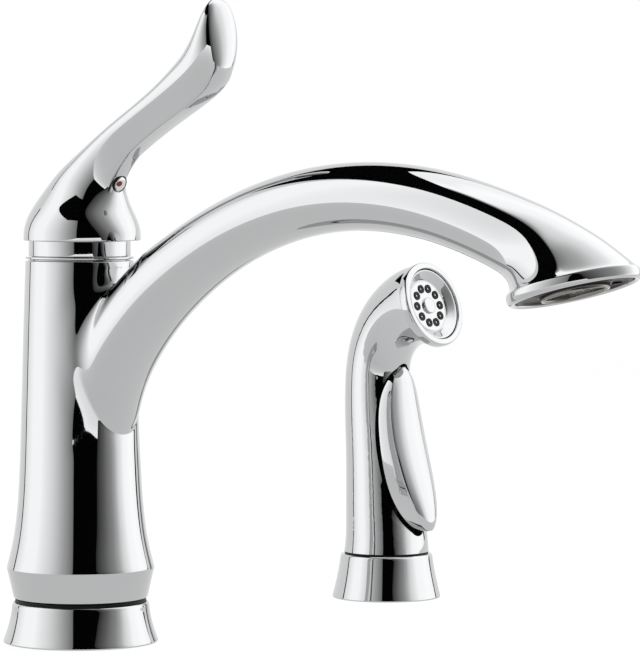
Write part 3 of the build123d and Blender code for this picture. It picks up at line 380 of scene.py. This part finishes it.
def moulded(name, color, roughness, size=900.0, depth=0.08, metallic=0.0, shine=0.5):
    """Plastic, rubber, ceramic or machined metal with a fine surface grain and a slight cloudiness."""
    material = new_material(name)
    tree = material.node_tree
    place = add_node(tree, "ShaderNodeTexCoord")
    surface = tree.nodes.new("ShaderNodeGroup")
    surface.node_tree = grain
    surface.inputs["Size"].default_value = size
    tones = add_node(tree, "ShaderNodeValToRGB")
    tones.color_ramp.elements[0].position = 0.3
    tones.color_ramp.elements[0].color = (*[value * 0.88 for value in color], 1)
    tones.color_ramp.elements[1].position = 0.7
    tones.color_ramp.elements[1].color = (*color, 1)
    bump = add_node(tree, "ShaderNodeBump", Strength=depth, Distance=0.0002)
    body = add_node(tree, "ShaderNodeBsdfPrincipled", Roughness=roughness, Metallic=metallic)
    body.inputs["Specular IOR Level"].default_value = shine
    out = add_node(tree, "ShaderNodeOutputMaterial")
    tree.links.new(place.outputs["Object"], surface.inputs["Vector"])
    tree.links.new(surface.outputs["Shade"], tones.inputs[0])
    tree.links.new(tones.outputs["Color"], body.inputs["Base Color"])
    tree.links.new(surface.outputs["Height"], bump.inputs["Height"])
    tree.links.new(bump.outputs["Normal"], body.inputs["Normal"])
    tree.links.new(body.outputs[0], out.inputs[0])
    return material


def finish_nodes(material, *names):
    """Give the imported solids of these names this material."""
    for name in names:
        for slot in nodes[name].material_slots:
            slot.material = material


black_rubber = moulded("black_rubber", (0.016, 0.016, 0.017), 0.55, shine=0.2)
black_nylon = moulded("black_nylon", (0.008, 0.008, 0.009), 0.42, shine=0.15)
finish_nodes(black_rubber, "deck_gasket", "spout_seals", "cartridge_seals", "aerator_washer")
finish_nodes(black_rubber, "holder_gasket", "coupling_washer", "spray_nozzles")
finish_nodes(black_nylon, "swivel_washer", "holder_shank", "holder_nut", "holder_washer", "spray_core")

# Clamp, water lines and valve body under and inside the faucet: machined brass, with a steel
# washer and lock screws under the deck. The three tails are screwed into the valve body.
raw_brass = moulded("raw_brass", (0.72, 0.50, 0.22), 0.28, 1400.0, 0.12, 1.0)
bright_steel = moulded("bright_steel", (0.58, 0.58, 0.57), 0.30, 1400.0, 0.12, 1.0)
finish_nodes(raw_brass, "valve_body", "mounting_shank", "mounting_nut", "bonnet_nut", "hot_inlet")
finish_nodes(raw_brass, "cold_inlet", "spray_outlet", "hose_coupling", "valve_stem", "cartridge_stem")
finish_nodes(bright_steel, "mounting_washer", "lock_screws", "set_screw", "stem_pin", "trigger_pin")
finish_nodes(bright_steel, "diverter_spring", "trigger_spring", "aerator_screens")

# Cartridge and diverter: moulded parts round two fired ceramic discs, pressed into the valve
# body's cup and held there by the bonnet nut.
fired_ceramic = moulded("fired_ceramic", (0.84, 0.82, 0.77), 0.16, 2000.0, 0.03)
grey_acetal = moulded("grey_acetal", (0.36, 0.36, 0.35), 0.42)
white_acetal = moulded("white_acetal", (0.80, 0.80, 0.79), 0.36)
finish_nodes(fired_ceramic, "upper_disc", "lower_disc")
finish_nodes(grey_acetal, "cartridge_housing", "stem_carrier", "diverter_cage")
finish_nodes(white_acetal, "disc_holder", "spout_bush", "diverter_poppet")

# Spout: body and arch are one brass casting, ground smooth, polished and plated. It turns on the
# valve body, and its bead and groove close the top under the cap ring.
ring_points = 16
fuller = 1 / (2 / 3 + cos(2 * pi / ring_points) / 3)


def slope_frame(reach, height, slope, across=0.0):
    """The frame square to a line that runs forward and up at this slope in degrees, in mm."""
    lean = radians(slope)
    ahead = Vector((0, -cos(lean), sin(lean)))
    deep = Vector((0, sin(lean), cos(lean)))
    turn = Matrix((Vector((1, 0, 0)), deep, ahead)).transposed().to_4x4()
    return Matrix.Translation(Vector((across, -reach, height)) / 1000) @ turn


def circle(radius):
    """The points of a round section from its front, as (across, deep) in mm."""
    turns = [2 * pi * step / ring_points for step in range(ring_points)]
    return [(radius * fuller * sin(turn), -radius * fuller * cos(turn)) for turn in turns]


def draw_ring(shape, places):
    """Draw one closed ring of a cage through these places, and give back its points."""
    ring = bmesh.ops.create_circle(shape, segments=len(places), radius=1)["verts"]
    for vert, place in zip(ring, places):
        vert.co = place
    return ring


def section_places(frame, outline):
    return [frame @ Vector((across / 1000, deep / 1000, 0)) for across, deep in outline]


def ring_edges(shape, ring):
    return [shape.edges.get((one, other)) for one, other in zip(ring, ring[1:] + ring[:1])]


def bridge(shape, rings):
    """Join each ring of a cage to the next one."""
    for one, other in zip(rings, rings[1:]):
        bmesh.ops.bridge_loops(shape, edges=ring_edges(shape, one) + ring_edges(shape, other))


def between(rows, place):
    """The sizes part way along a row of stations, on a smooth curve through them."""
    step = min(max(int(place), 0), len(rows) - 2)
    share = place - step
    near = [rows[min(max(step + shift, 0), len(rows) - 1)] for shift in (-1, 0, 1, 2)]
    mixed = []
    for before, one, other, after in zip(*near):
        lead = (other - before) / 2
        trail = (after - one) / 2
        bend = 3 * (other - one) - 2 * lead - trail
        twist = 2 * (one - other) + lead + trail
        mixed.append(one + lead * share + bend * share ** 2 + twist * share ** 3)
    return mixed


body_rows = [
    (17.3, 17.0), (17.6, 16.76), (24.6, 16.7), (25.1, 16.8), (25.3, 17.2), (25.9, 20.0),
    (26.9, 24.4), (27.5, 26.9), (27.8, 27.8), (27.7, 28.6), (27.3, 30.1), (26.2, 34.5),
    (24.9, 40.5), (23.8, 49.5), (23.1, 59.0), (22.75, 67.5), (22.45, 76.0), (22.05, 90.0),
    (21.6, 105.0), (21.15, 121.0), (20.65, 136.0), (20.45, 141.3), (20.4, 142.8), (20.38, 143.2),
    (20.1, 143.38), (19.1, 143.42), (18.9, 143.65), (19.1, 143.88), (20.1, 143.92), (20.38, 144.05),
    (20.42, 144.35), (20.42, 144.7), (20.3, 144.85), (20.0, 144.9), (17.6, 144.84), (17.3, 144.6),
    (17.3, 130.0), (17.3, 100.0), (17.3, 60.0), (17.3, 25.0),
]
mouth_rows = [row for row in body_rows if 75 < row[1] < 137 and row[0] > 20]
arch_stations = [
    (6.0, 73.4, 76.0, 13.6), (9.8, 87.4, 72.0, 14.8), (14.9, 103.5, 62.0, 15.0),
    (27.8, 121.0, 47.5, 14.4), (46.5, 138.0, 36.5, 13.6), (72.8, 154.2, 26.0, 12.6),
    (105.0, 165.6, 13.0, 12.2), (138.0, 169.3, 0.0, 12.1), (172.0, 165.6, -13.0, 12.6),
    (202.0, 155.6, -25.0, 13.3), (215.5, 148.6, -43.0, 15.6), (226.77, 140.43, -74.5, 21.8),
]
flange_rows = [
    (22.2, -4.5), (22.9, -4.1), (23.1, -3.2), (23.1, -1.5), (22.8, -0.5), (22.0, 0.0),
    (21.3, -0.05), (20.7, -0.35), (20.5, -1.0), (20.45, -4.2),
]


def body_radius(height):
    """The outer radius of the body at a height above the deck, from the rows beside the spout."""
    heights = [row[1] for row in mouth_rows]
    step = min(max(sum(height > other for other in heights) - 1, 0), len(heights) - 2)
    (low, floor), (high, roof) = mouth_rows[step:step + 2]
    return low + (high - low) * (height - floor) / (roof - floor)


def arch_point(turn, place):
    """A place on the arch, this far along its stations and turned from its underside, in mm."""
    reach, height, slope, radius = between(arch_stations, place)
    outward = slope_frame(0, 0, slope).to_3x3() @ Vector((sin(turn), -cos(turn), 0))
    return Vector((0, -reach, height)) + outward * radius * fuller


free_station = 4.0


def leaving(turn):
    """How far along its stations this line of the arch leaves the body."""
    place = free_station
    while place > 0:
        spot = arch_point(turn, place)
        if spot.to_2d().length < body_radius(spot.z) + 0.4 * (1 + cos(turn)) + 0.3:
            return place
        place -= 0.02
    return 0.0


spout_cage = bmesh.new()
body_rings = []
for radius, height in body_rows:
    level = Matrix.Translation((0, 0, height / 1000))
    body_rings.append(draw_ring(spout_cage, section_places(level, circle(radius))))
bridge(spout_cage, body_rings + body_rings[:1])
first = next(place for place, row in enumerate(body_rows) if row == mouth_rows[0])
mouth = body_rings[first:first + 5]
rim = [mouth[0][0], mouth[0][1]] + [ring[2] for ring in mouth] + [mouth[4][1], mouth[4][0], mouth[4][15]]
rim += [ring[14] for ring in reversed(mouth)] + [mouth[0][15]]
turns = [2 * pi * step / ring_points for step in range(ring_points)]
exits = [leaving(turn) for turn in turns]
root_centre = 106.0
root_radius = 22
foot_margins = [1.0, 0.8, 0.5, 0.8, 2.4, 3.6, 3.9, 4.2, 4.4]
rim_margins = [2.4, 2.0, 1.4, 1.8, 5.4, 8.0, 8.0, 7.2, 6.6]


def root_place(turn, leave, margin, fullness):
    """A place on the body, this far outside the line where the arch leaves it."""
    spot = arch_point(turn, leave)
    away = Vector((atan(spot.x / -spot.y) * root_radius, spot.z - root_centre))
    away += away.normalized() * margin
    bearing = away.x / root_radius
    height = root_centre + away.y
    around = body_radius(height) * fullness
    return Vector((around * sin(bearing), -around * cos(bearing), height)) / 1000


for place, vert in enumerate(rim):
    fullness = 1.008 if place in (15, 0, 1, 7, 8, 9) else 1.016
    vert.co = root_place(turns[place], exits[place], rim_margins[min(place, 16 - place)], fullness)
# The columns beside the mouth share out the rest of the way round the body.
for ring in mouth:
    edge = atan(ring[2].co.x / -ring[2].co.y)
    gap = (pi - edge) / 6
    around = ring[8].co.y / fuller / (2 / 3 + cos(gap) / 3)
    for step in range(1, 6):
        bearing = edge + gap * step
        for vert, side in ((ring[2 + step], 1), (ring[14 - step], -1)):
            vert.co.x = side * around * sin(bearing)
            vert.co.y = -around * cos(bearing)
foot_places = []
for place, turn in enumerate(turns):
    foot_places.append(root_place(turn, exits[place], foot_margins[min(place, 16 - place)], 1.003))
arch_rings = [rim, draw_ring(spout_cage, foot_places)]
for share in (0.06, 0.2, 0.42, 0.7, 1.0):
    places = []
    for turn, leave in zip(turns, exits):
        places.append(arch_point(turn, leave + (free_station - leave) * share) / 1000)
    arch_rings.append(draw_ring(spout_cage, places))
for place in (5, 6, 7, 8, 9, 9.55, 10, 10.4, 10.75):
    arch_rings.append(draw_ring(spout_cage, [arch_point(turn, place) / 1000 for turn in turns]))
outlet_tip = 15.5
outlet_frame = slope_frame(228.0, 136.0, outlet_tip - 90)
for radius, rise in flange_rows:
    level = outlet_frame @ Matrix.Translation((0, 0, rise / 1000))
    arch_rings.append(draw_ring(spout_cage, section_places(level, circle(radius))))
opened = [ring[place] for ring in mouth[1:4] for place in (15, 0, 1)]
bmesh.ops.delete(spout_cage, geom=opened, context="VERTS")
bridge(spout_cage, arch_rings)
spout_cage.faces.new(arch_rings[-1])
spout_casting = smooth_piece("spout_casting", spout_cage, chrome_plate, 3)
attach(spout_casting, "spout")
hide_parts("spout_shell")


# Cap ring: a thin brass ring, turned and plated, between the body and the handle's dome. It lies on
# the bonnet nut and hides it.
cap_rows = [
    (18.9, 145.02), (19.12, 145.02), (19.2, 145.1), (19.2, 147.5), (19.2, 150.9), (19.1, 151.3),
    (18.7, 151.45), (12.0, 151.5), (11.65, 151.4), (11.65, 150.0), (11.9, 149.9), (17.4, 149.9),
    (17.6, 149.7), (17.6, 145.3), (17.7, 145.02), (18.1, 145.02),
]
cap_trim = smooth_piece("cap_trim", turned_cage(cap_rows, upright), chrome_plate, 2)
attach(cap_trim, "base")
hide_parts("cap_ring")


# Handle: dome and lever in one zinc casting, polished and plated. It hangs over the cap ring and is
# clamped on the cartridge stem by a set screw behind the button.
def oval(depth, width, front, bulge, widest):
    """Sixteen points round a lever section, from the middle of its front, as (across, deep)."""
    corner = asin(front / width)
    foot = (1 - cos(corner)) / 2
    power = log(widest) / log(0.5)
    half = []
    for step in range(7):
        turn = corner + (pi - corner) * step / 7
        deep = ((1 - cos(turn)) / 2 - foot) / (1 - foot)
        half.append((width / 2 * sin(turn), depth * max(deep, 0) ** power))
    left = [(-across, deep) for across, deep in reversed(half)]
    return [(0, -bulge)] + half + [(0, depth)] + left


def loft_cage(sections):
    """Join a row of placed outlines into a cage and close both ends."""
    shape = bmesh.new()
    rings = [draw_ring(shape, section_places(place, outline)) for place, outline in sections]
    bridge(shape, rings)
    shape.faces.new(rings[0])
    shape.faces.new(rings[-1])
    return shape, rings


def crease(shape, rings, place, first, last, amount):
    """Sharpen the long edge that runs through one place of each ring."""
    layer = shape.edges.layers.float.get("crease_edge") or shape.edges.layers.float.new("crease_edge")
    for one, other in zip(rings[first:last], rings[first + 1:last + 1]):
        edge = shape.edges.get((one[place], other[place]))
        if edge:
            edge[layer] = amount


dome_rim_height = 150.8
lever_rows = [
    (22.6, 0.05, 90.0, 42.6, 44.3, 16.8, 1.67, 0.52),
    (22.72, 0.35, 90.0, 42.8, 44.5, 16.9, 1.70, 0.52),
    (22.75, 3.9, 90.0, 42.8, 44.5, 17.0, 1.70, 0.52),
    (21.4, 8.2, 89.0, 40.3, 41.6, 15.8, 1.50, 0.52),
    (19.6, 12.4, 86.0, 35.3, 35.2, 12.6, 1.10, 0.51),
    (18.9, 16.2, 81.5, 30.3, 29.2, 10.2, 0.80, 0.51),
    (19.1, 19.6, 76.0, 26.3, 24.9, 8.6, 0.60, 0.54),
    (20.6, 23.2, 69.8, 21.8, 21.6, 7.8, 0.50, 0.58),
    (23.3, 27.3, 61.5, 17.8, 18.8, 7.6, 0.40, 0.64),
    (28.2, 32.4, 50.0, 14.8, 17.0, 8.0, 0.30, 0.70),
    (35.5, 37.2, 38.6, 13.8, 16.1, 8.9, 0.30, 0.72),
    (46.0, 43.3, 32.0, 13.8, 16.0, 9.2, 0.30, 0.72),
    (55.0, 48.0, 34.0, 15.4, 16.4, 9.2, 0.36, 0.70),
    (62.6, 52.3, 39.0, 16.9, 17.2, 9.6, 0.50, 0.68),
    (68.4, 56.6, 46.5, 17.6, 18.4, 10.4, 0.90, 0.64),
    (71.8, 61.9, 53.0, 16.9, 19.4, 12.2, 1.50, 0.60),
    (72.6, 68.2, 55.5, 13.8, 19.9, 14.6, 2.10, 0.57),
    (72.6, 74.8, 56.0, 10.7, 18.6, 14.2, 2.10, 0.54),
    (72.0, 80.6, 55.0, 7.8, 15.4, 12.0, 1.70, 0.52),
    (71.2, 84.8, 53.0, 5.0, 11.0, 8.6, 1.10, 0.5),
    (70.5, 87.2, 50.0, 2.6, 6.0, 4.6, 0.50, 0.5),
]
inside_rows = [
    (4.8, 174.8), (4.8, 154.2), (5.0, 153.65), (5.5, 153.6), (5.6, 154.2), (5.6, 157.6),
    (6.2, 158.1), (16.0, 158.0), (17.6, 157.2), (20.3, 153.8), (21.4, 151.2), (21.6, 150.75),
    (21.9, 150.85),
]
lever_fullness = 1.02
lever_sections = []
for radius, height in inside_rows:
    reach = 0.0 if radius < 7 else 1.8
    outline = oval(1.924 * radius, 2 * radius, 0.765 * radius, 0.076 * radius, 0.52)
    lever_sections.append((slope_frame(reach + 0.924 * radius, height, 90.0), outline))
for reach, rise, lean, depth, width, front, bulge, widest in lever_rows:
    swell = bulge + depth * (lever_fullness - 1) / 2
    outline = oval(depth * lever_fullness, width * lever_fullness, front, swell, widest)
    lever_sections.append((slope_frame(reach, dome_rim_height + rise, lean), outline))
lever_cage, lever_rings = loft_cage(lever_sections)
for place in (1, 15):
    crease(lever_cage, lever_rings, place, 20, 22, 0.35)
    crease(lever_cage, lever_rings, place, 22, 27, 0.75)
    crease(lever_cage, lever_rings, place, 27, 28, 0.45)
lever_casting = smooth_piece("lever_casting", lever_cage, chrome_plate, 3)
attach(lever_casting, "lever")
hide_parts("handle")


# Temperature button: a small chrome button with a red enamel mark on its hot side, pressed into a
# dark seat at the lever's front. It hides the set screw.
enamel = new_material("button_enamel")
tree = enamel.node_tree
place = add_node(tree, "ShaderNodeTexCoord")
centre = add_node(tree, "ShaderNodeVectorMath", "SUBTRACT")
centre.inputs[1].default_value = (-0.0010, -0.0209, 0.1721)
flatten = add_node(tree, "ShaderNodeVectorMath", "MULTIPLY")
flatten.inputs[1].default_value = (0.9, 0.2, 1.3)
distance = add_node(tree, "ShaderNodeVectorMath", "LENGTH")
mark = add_node(tree, "ShaderNodeMapRange")
mark.inputs["From Min"].default_value = 0.00125
mark.inputs["From Max"].default_value = 0.00135
mark.inputs["To Min"].default_value = 1.0
mark.inputs["To Max"].default_value = 0.0
paint = add_node(tree, "ShaderNodeMix")
paint.data_type = "RGBA"
paint.inputs["A"].default_value = (0.78, 0.74, 0.74, 1)
paint.inputs["B"].default_value = (0.19, 0.012, 0.016, 1)
metal_share = add_node(tree, "ShaderNodeMapRange")
metal_share.inputs["To Min"].default_value = 0.75
metal_share.inputs["To Max"].default_value = 0.0
button_shader = add_node(tree, "ShaderNodeBsdfPrincipled", Roughness=0.12)
out = add_node(tree, "ShaderNodeOutputMaterial")
tree.links.new(place.outputs["Object"], centre.inputs[0])
tree.links.new(centre.outputs[0], flatten.inputs[0])
tree.links.new(flatten.outputs[0], distance.inputs[0])
tree.links.new(distance.outputs["Value"], mark.inputs["Value"])
tree.links.new(mark.outputs["Result"], paint.inputs["Factor"])
tree.links.new(mark.outputs["Result"], metal_share.inputs["Value"])
tree.links.new(paint.outputs["Result"], button_shader.inputs["Base Color"])
tree.links.new(metal_share.outputs["Result"], button_shader.inputs["Metallic"])
tree.links.new(button_shader.outputs[0], out.inputs[0])
button_frame = slope_frame(20.6, 172.0, -20.0)
button_profile = [
    (0, -3.5), (2.6, -3.5), (2.8, -3.35), (2.8, -0.1), (2.75, 0.25), (2.45, 0.45), (1.2, 0.62),
    (0, 0.66),
]
button = smooth_piece("warmth_button", turned_cage(button_profile, button_frame, 24), enamel, 2)
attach(button, "lever")
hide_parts("temperature_button")
seat_profile = [(2.8, -3.0), (3.3, -3.0), (3.35, 0.0), (3.2, 0.3), (2.95, 0.3), (2.8, 0.0)]
button_seat = smooth_piece("button_seat", turned_cage(seat_profile, button_frame, 24), black_nylon, 2)
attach(button_seat, "lever")


# Aerator: a grey moulded insert, a raised metal ring and two steel screens, screwed into the end of the
# spout.
# The insert's two key slot recesses are not cut: black blocks on its face paint their shade.
insert_grey = moulded("insert_grey", (0.066, 0.062, 0.056), 0.36, 1500.0, 0.05, shine=0.1)
insert_profile = [
    (12.1, -4.0), (12.1, -1.2), (12.3, -0.95), (12.9, -0.9), (13.3, -1.5), (14.0, -1.7),
    (17.6, -1.5), (18.3, -1.1), (18.6, -0.6), (19.6, -0.55), (20.1, -0.7), (20.2, -1.0),
    (20.2, -4.0),
]
insert_cage = turned_cage(insert_profile, outlet_frame, 48)
insert = smooth_piece("aerator_insert", insert_cage, insert_grey, 2)
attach(insert, "spout")
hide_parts("aerator_housing")
ring_steel = polished_metal("ring_steel", (0.26, 0.25, 0.235), 0.08, 0.18)
ring_profile = [
    (10.5, -6.9), (12.0, -6.9), (12.0, 0.2), (11.8, 0.7), (11.4, 0.8), (11.0, 0.7), (10.6, 0.1),
    (10.5, -0.6),
]
aerator_rim = smooth_piece("aerator_rim", turned_cage(ring_profile, outlet_frame, 48), ring_steel, 2)
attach(aerator_rim, "spout")
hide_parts("aerator_ring")
# Painted shade: two black blocks on the insert's face stand for the dark insides of the key slot recesses.
key_slot_shade_cage = bmesh.new()
for side in (-1, 1):
    slot_turn = Matrix.Rotation(radians(90 + 90 * side + 28), 4, "Z")
    slot_place = Matrix.Translation((0.0162, 0, -0.00128))
    slot_size = Matrix.Diagonal((0.0030, 0.0020, 0.0006, 1))
    bmesh.ops.create_cube(key_slot_shade_cage, size=1, matrix=outlet_frame @ slot_turn @ slot_place @ slot_size)
bmesh.ops.bevel(
    key_slot_shade_cage, geom=key_slot_shade_cage.edges[:], offset=0.00015, segments=2, profile=0.5, affect="EDGES", material=-1
)
key_slot_shade_mesh = bpy.data.meshes.new("key_slot_shade")
key_slot_shade_cage.to_mesh(key_slot_shade_mesh)
key_slot_shade_cage.free()
key_slot_shade_mesh.materials.append(black_nylon)
key_slot_shade = add_object("key_slot_shade", key_slot_shade_mesh)
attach(key_slot_shade, "spout")


# Sprayer holder: a flared brass trim, turned and plated, round a black threaded shank whose lip
# shows as a thin dark line under the sprayer.
sprayer_across = 0.1845
holder_frame = Matrix.Translation((sprayer_across, 0, 0))
holder_profile = [
    (19.8, 0.0), (22.0, 0.0), (22.35, 0.12), (22.42, 0.5), (22.3, 1.0), (21.7, 3.6), (20.75, 7.6),
    (19.85, 12.2), (19.3, 15.8), (19.15, 17.1), (18.95, 17.95), (18.5, 18.3), (18.0, 18.25),
    (17.6, 17.9), (17.45, 17.65), (17.4, 17.62), (16.5, 17.6), (16.4, 17.4), (16.3, 4.7),
    (16.1, 4.5), (14.0, 4.5), (13.8, 4.3), (13.8, 1.7), (14.0, 1.5), (19.5, 1.5), (19.8, 1.3),
]
holder_trim = smooth_piece("holder_trim", turned_cage(holder_profile, holder_frame), chrome_plate, 2)
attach(holder_trim, "base")
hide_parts("spray_holder")


# Sprayer body and head: a plated shell bent over at its top, with a plated ring in its end, a
# plated dish with ten rubber nozzles, and a domed cap over the screw that holds the dish.
finish_nodes(chrome_plate, "spray_body")
head_frame = slope_frame(25.3, 122.5, 18.0, 184.5)
rim_profile = [
    (15.0, -4.0), (17.5, -4.0), (17.8, -3.8), (17.85, -1.4), (17.7, -0.5), (17.2, -0.05),
    (16.4, 0.05), (15.5, 0.0), (15.15, -0.15), (15.0, -0.6),
]
head_rim = smooth_piece("head_rim", turned_cage(rim_profile, head_frame), chrome_plate, 2)
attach(head_rim, "sprayer")
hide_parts("head_ring")
dish_profile = [
    (0, -4.8), (11.0, -4.8), (14.6, -2.6), (14.85, -2.2), (14.85, -1.1), (14.5, -0.8),
    (14.1, -0.95), (13.2, -1.7), (12.0, -2.7), (11.3, -3.3), (11.0, -3.75), (10.75, -3.75),
    (10.6, -3.5), (10.2, -3.45), (4.0, -3.55), (0, -3.55),
]
dish = smooth_piece("spray_dish", turned_cage(dish_profile, head_frame), chrome_plate, 2)
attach(dish, "sprayer")
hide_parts("spray_plate")
cap_profile = [
    (0, -4.0), (3.3, -4.0), (3.4, -3.8), (3.4, -2.9), (3.2, -2.55), (2.7, -2.4), (1.3, -2.3),
    (0, -2.28),
]
centre_cap = smooth_piece("centre_cap", turned_cage(cap_profile, head_frame, 24), chrome_plate, 2)
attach(centre_cap, "sprayer")
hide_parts("plate_screw")


# Sprayer trigger: a leaf-shaped paddle with a raised front, plated zinc, hinged at its top on a
# steel pin inside the sprayer's window.
trigger_rows = [
    (95.9, 1.2, 8.3, 0.9, 8.6),
    (95.2, 3.0, 8.0, 2.4, 8.8),
    (92.6, 6.2, 6.9, 5.6, 9.1),
    (88.0, 8.8, 5.3, 7.9, 9.4),
    (82.0, 10.5, 4.4, 9.3, 9.9),
    (74.0, 11.6, 4.6, 10.2, 11.0),
    (64.0, 12.1, 6.0, 10.5, 13.2),
    (53.0, 11.9, 7.7, 10.1, 16.5),
    (43.0, 10.8, 10.4, 8.9, 19.7),
    (36.0, 8.7, 13.4, 7.0, 21.7),
    (31.6, 6.1, 15.8, 4.8, 22.8),
    (29.2, 3.4, 17.3, 2.6, 23.1),
    (28.5, 1.2, 18.0, 0.9, 23.0),
]
trigger_sections = []
for height, half, side, ridge_half, ridge in trigger_rows:
    bulge = 3.6 * ridge_half / 10.5
    outline = [(0, -ridge - bulge), (ridge_half * 0.58, -ridge - bulge * 0.72), (ridge_half, -ridge + 0.3)]
    outline += [((half + ridge_half) / 2 + 0.15, -(ridge + side) / 2), (half, -side - 0.3)]
    outline += [(half - 0.2, -side + 0.5), (half * 0.5, -side + 0.6), (0, -side + 0.6)]
    outline += [(-across, deep) for across, deep in reversed(outline[1:-1])]
    trigger_sections.append((Matrix.Translation((sprayer_across, 0, height / 1000)), outline))
trigger_cage, trigger_rings = loft_cage(trigger_sections)
for place in (2, 12):
    crease(trigger_cage, trigger_rings, place, 1, 11, 0.55)
for place in (4, 10):
    crease(trigger_cage, trigger_rings, place, 1, 11, 0.35)
paddle = smooth_piece("trigger_paddle", trigger_cage, chrome_plate, 3)
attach(paddle, "trigger")
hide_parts("spray_trigger")
lug = bmesh.new()
lug_place = Matrix.Translation((sprayer_across, -0.0026, 0.0915)) @ Matrix.Rotation(pi / 2, 4, "Y")
lug_radius = 0.0022
bmesh.ops.create_cone(
    lug, cap_ends=True, segments=24, radius1=lug_radius, radius2=lug_radius, depth=0.009, matrix=lug_place
)
web_size = Matrix.Diagonal((0.009, 0.0042, 0.004, 1))
web_place = Matrix.Translation((sprayer_across, -0.0055, 0.0915))
bmesh.ops.create_cube(lug, size=1, matrix=web_place @ web_size)
bmesh.ops.bevel(
    lug, geom=lug.edges[:], offset=0.0002, segments=2, profile=0.5, affect="EDGES", material=-1
)
lug_mesh = bpy.data.meshes.new("trigger_lug")
lug.to_mesh(lug_mesh)
lug.free()
lug_mesh.materials.append(bright_steel)
trigger_lug = add_object("trigger_lug", lug_mesh)
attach(trigger_lug, "trigger")
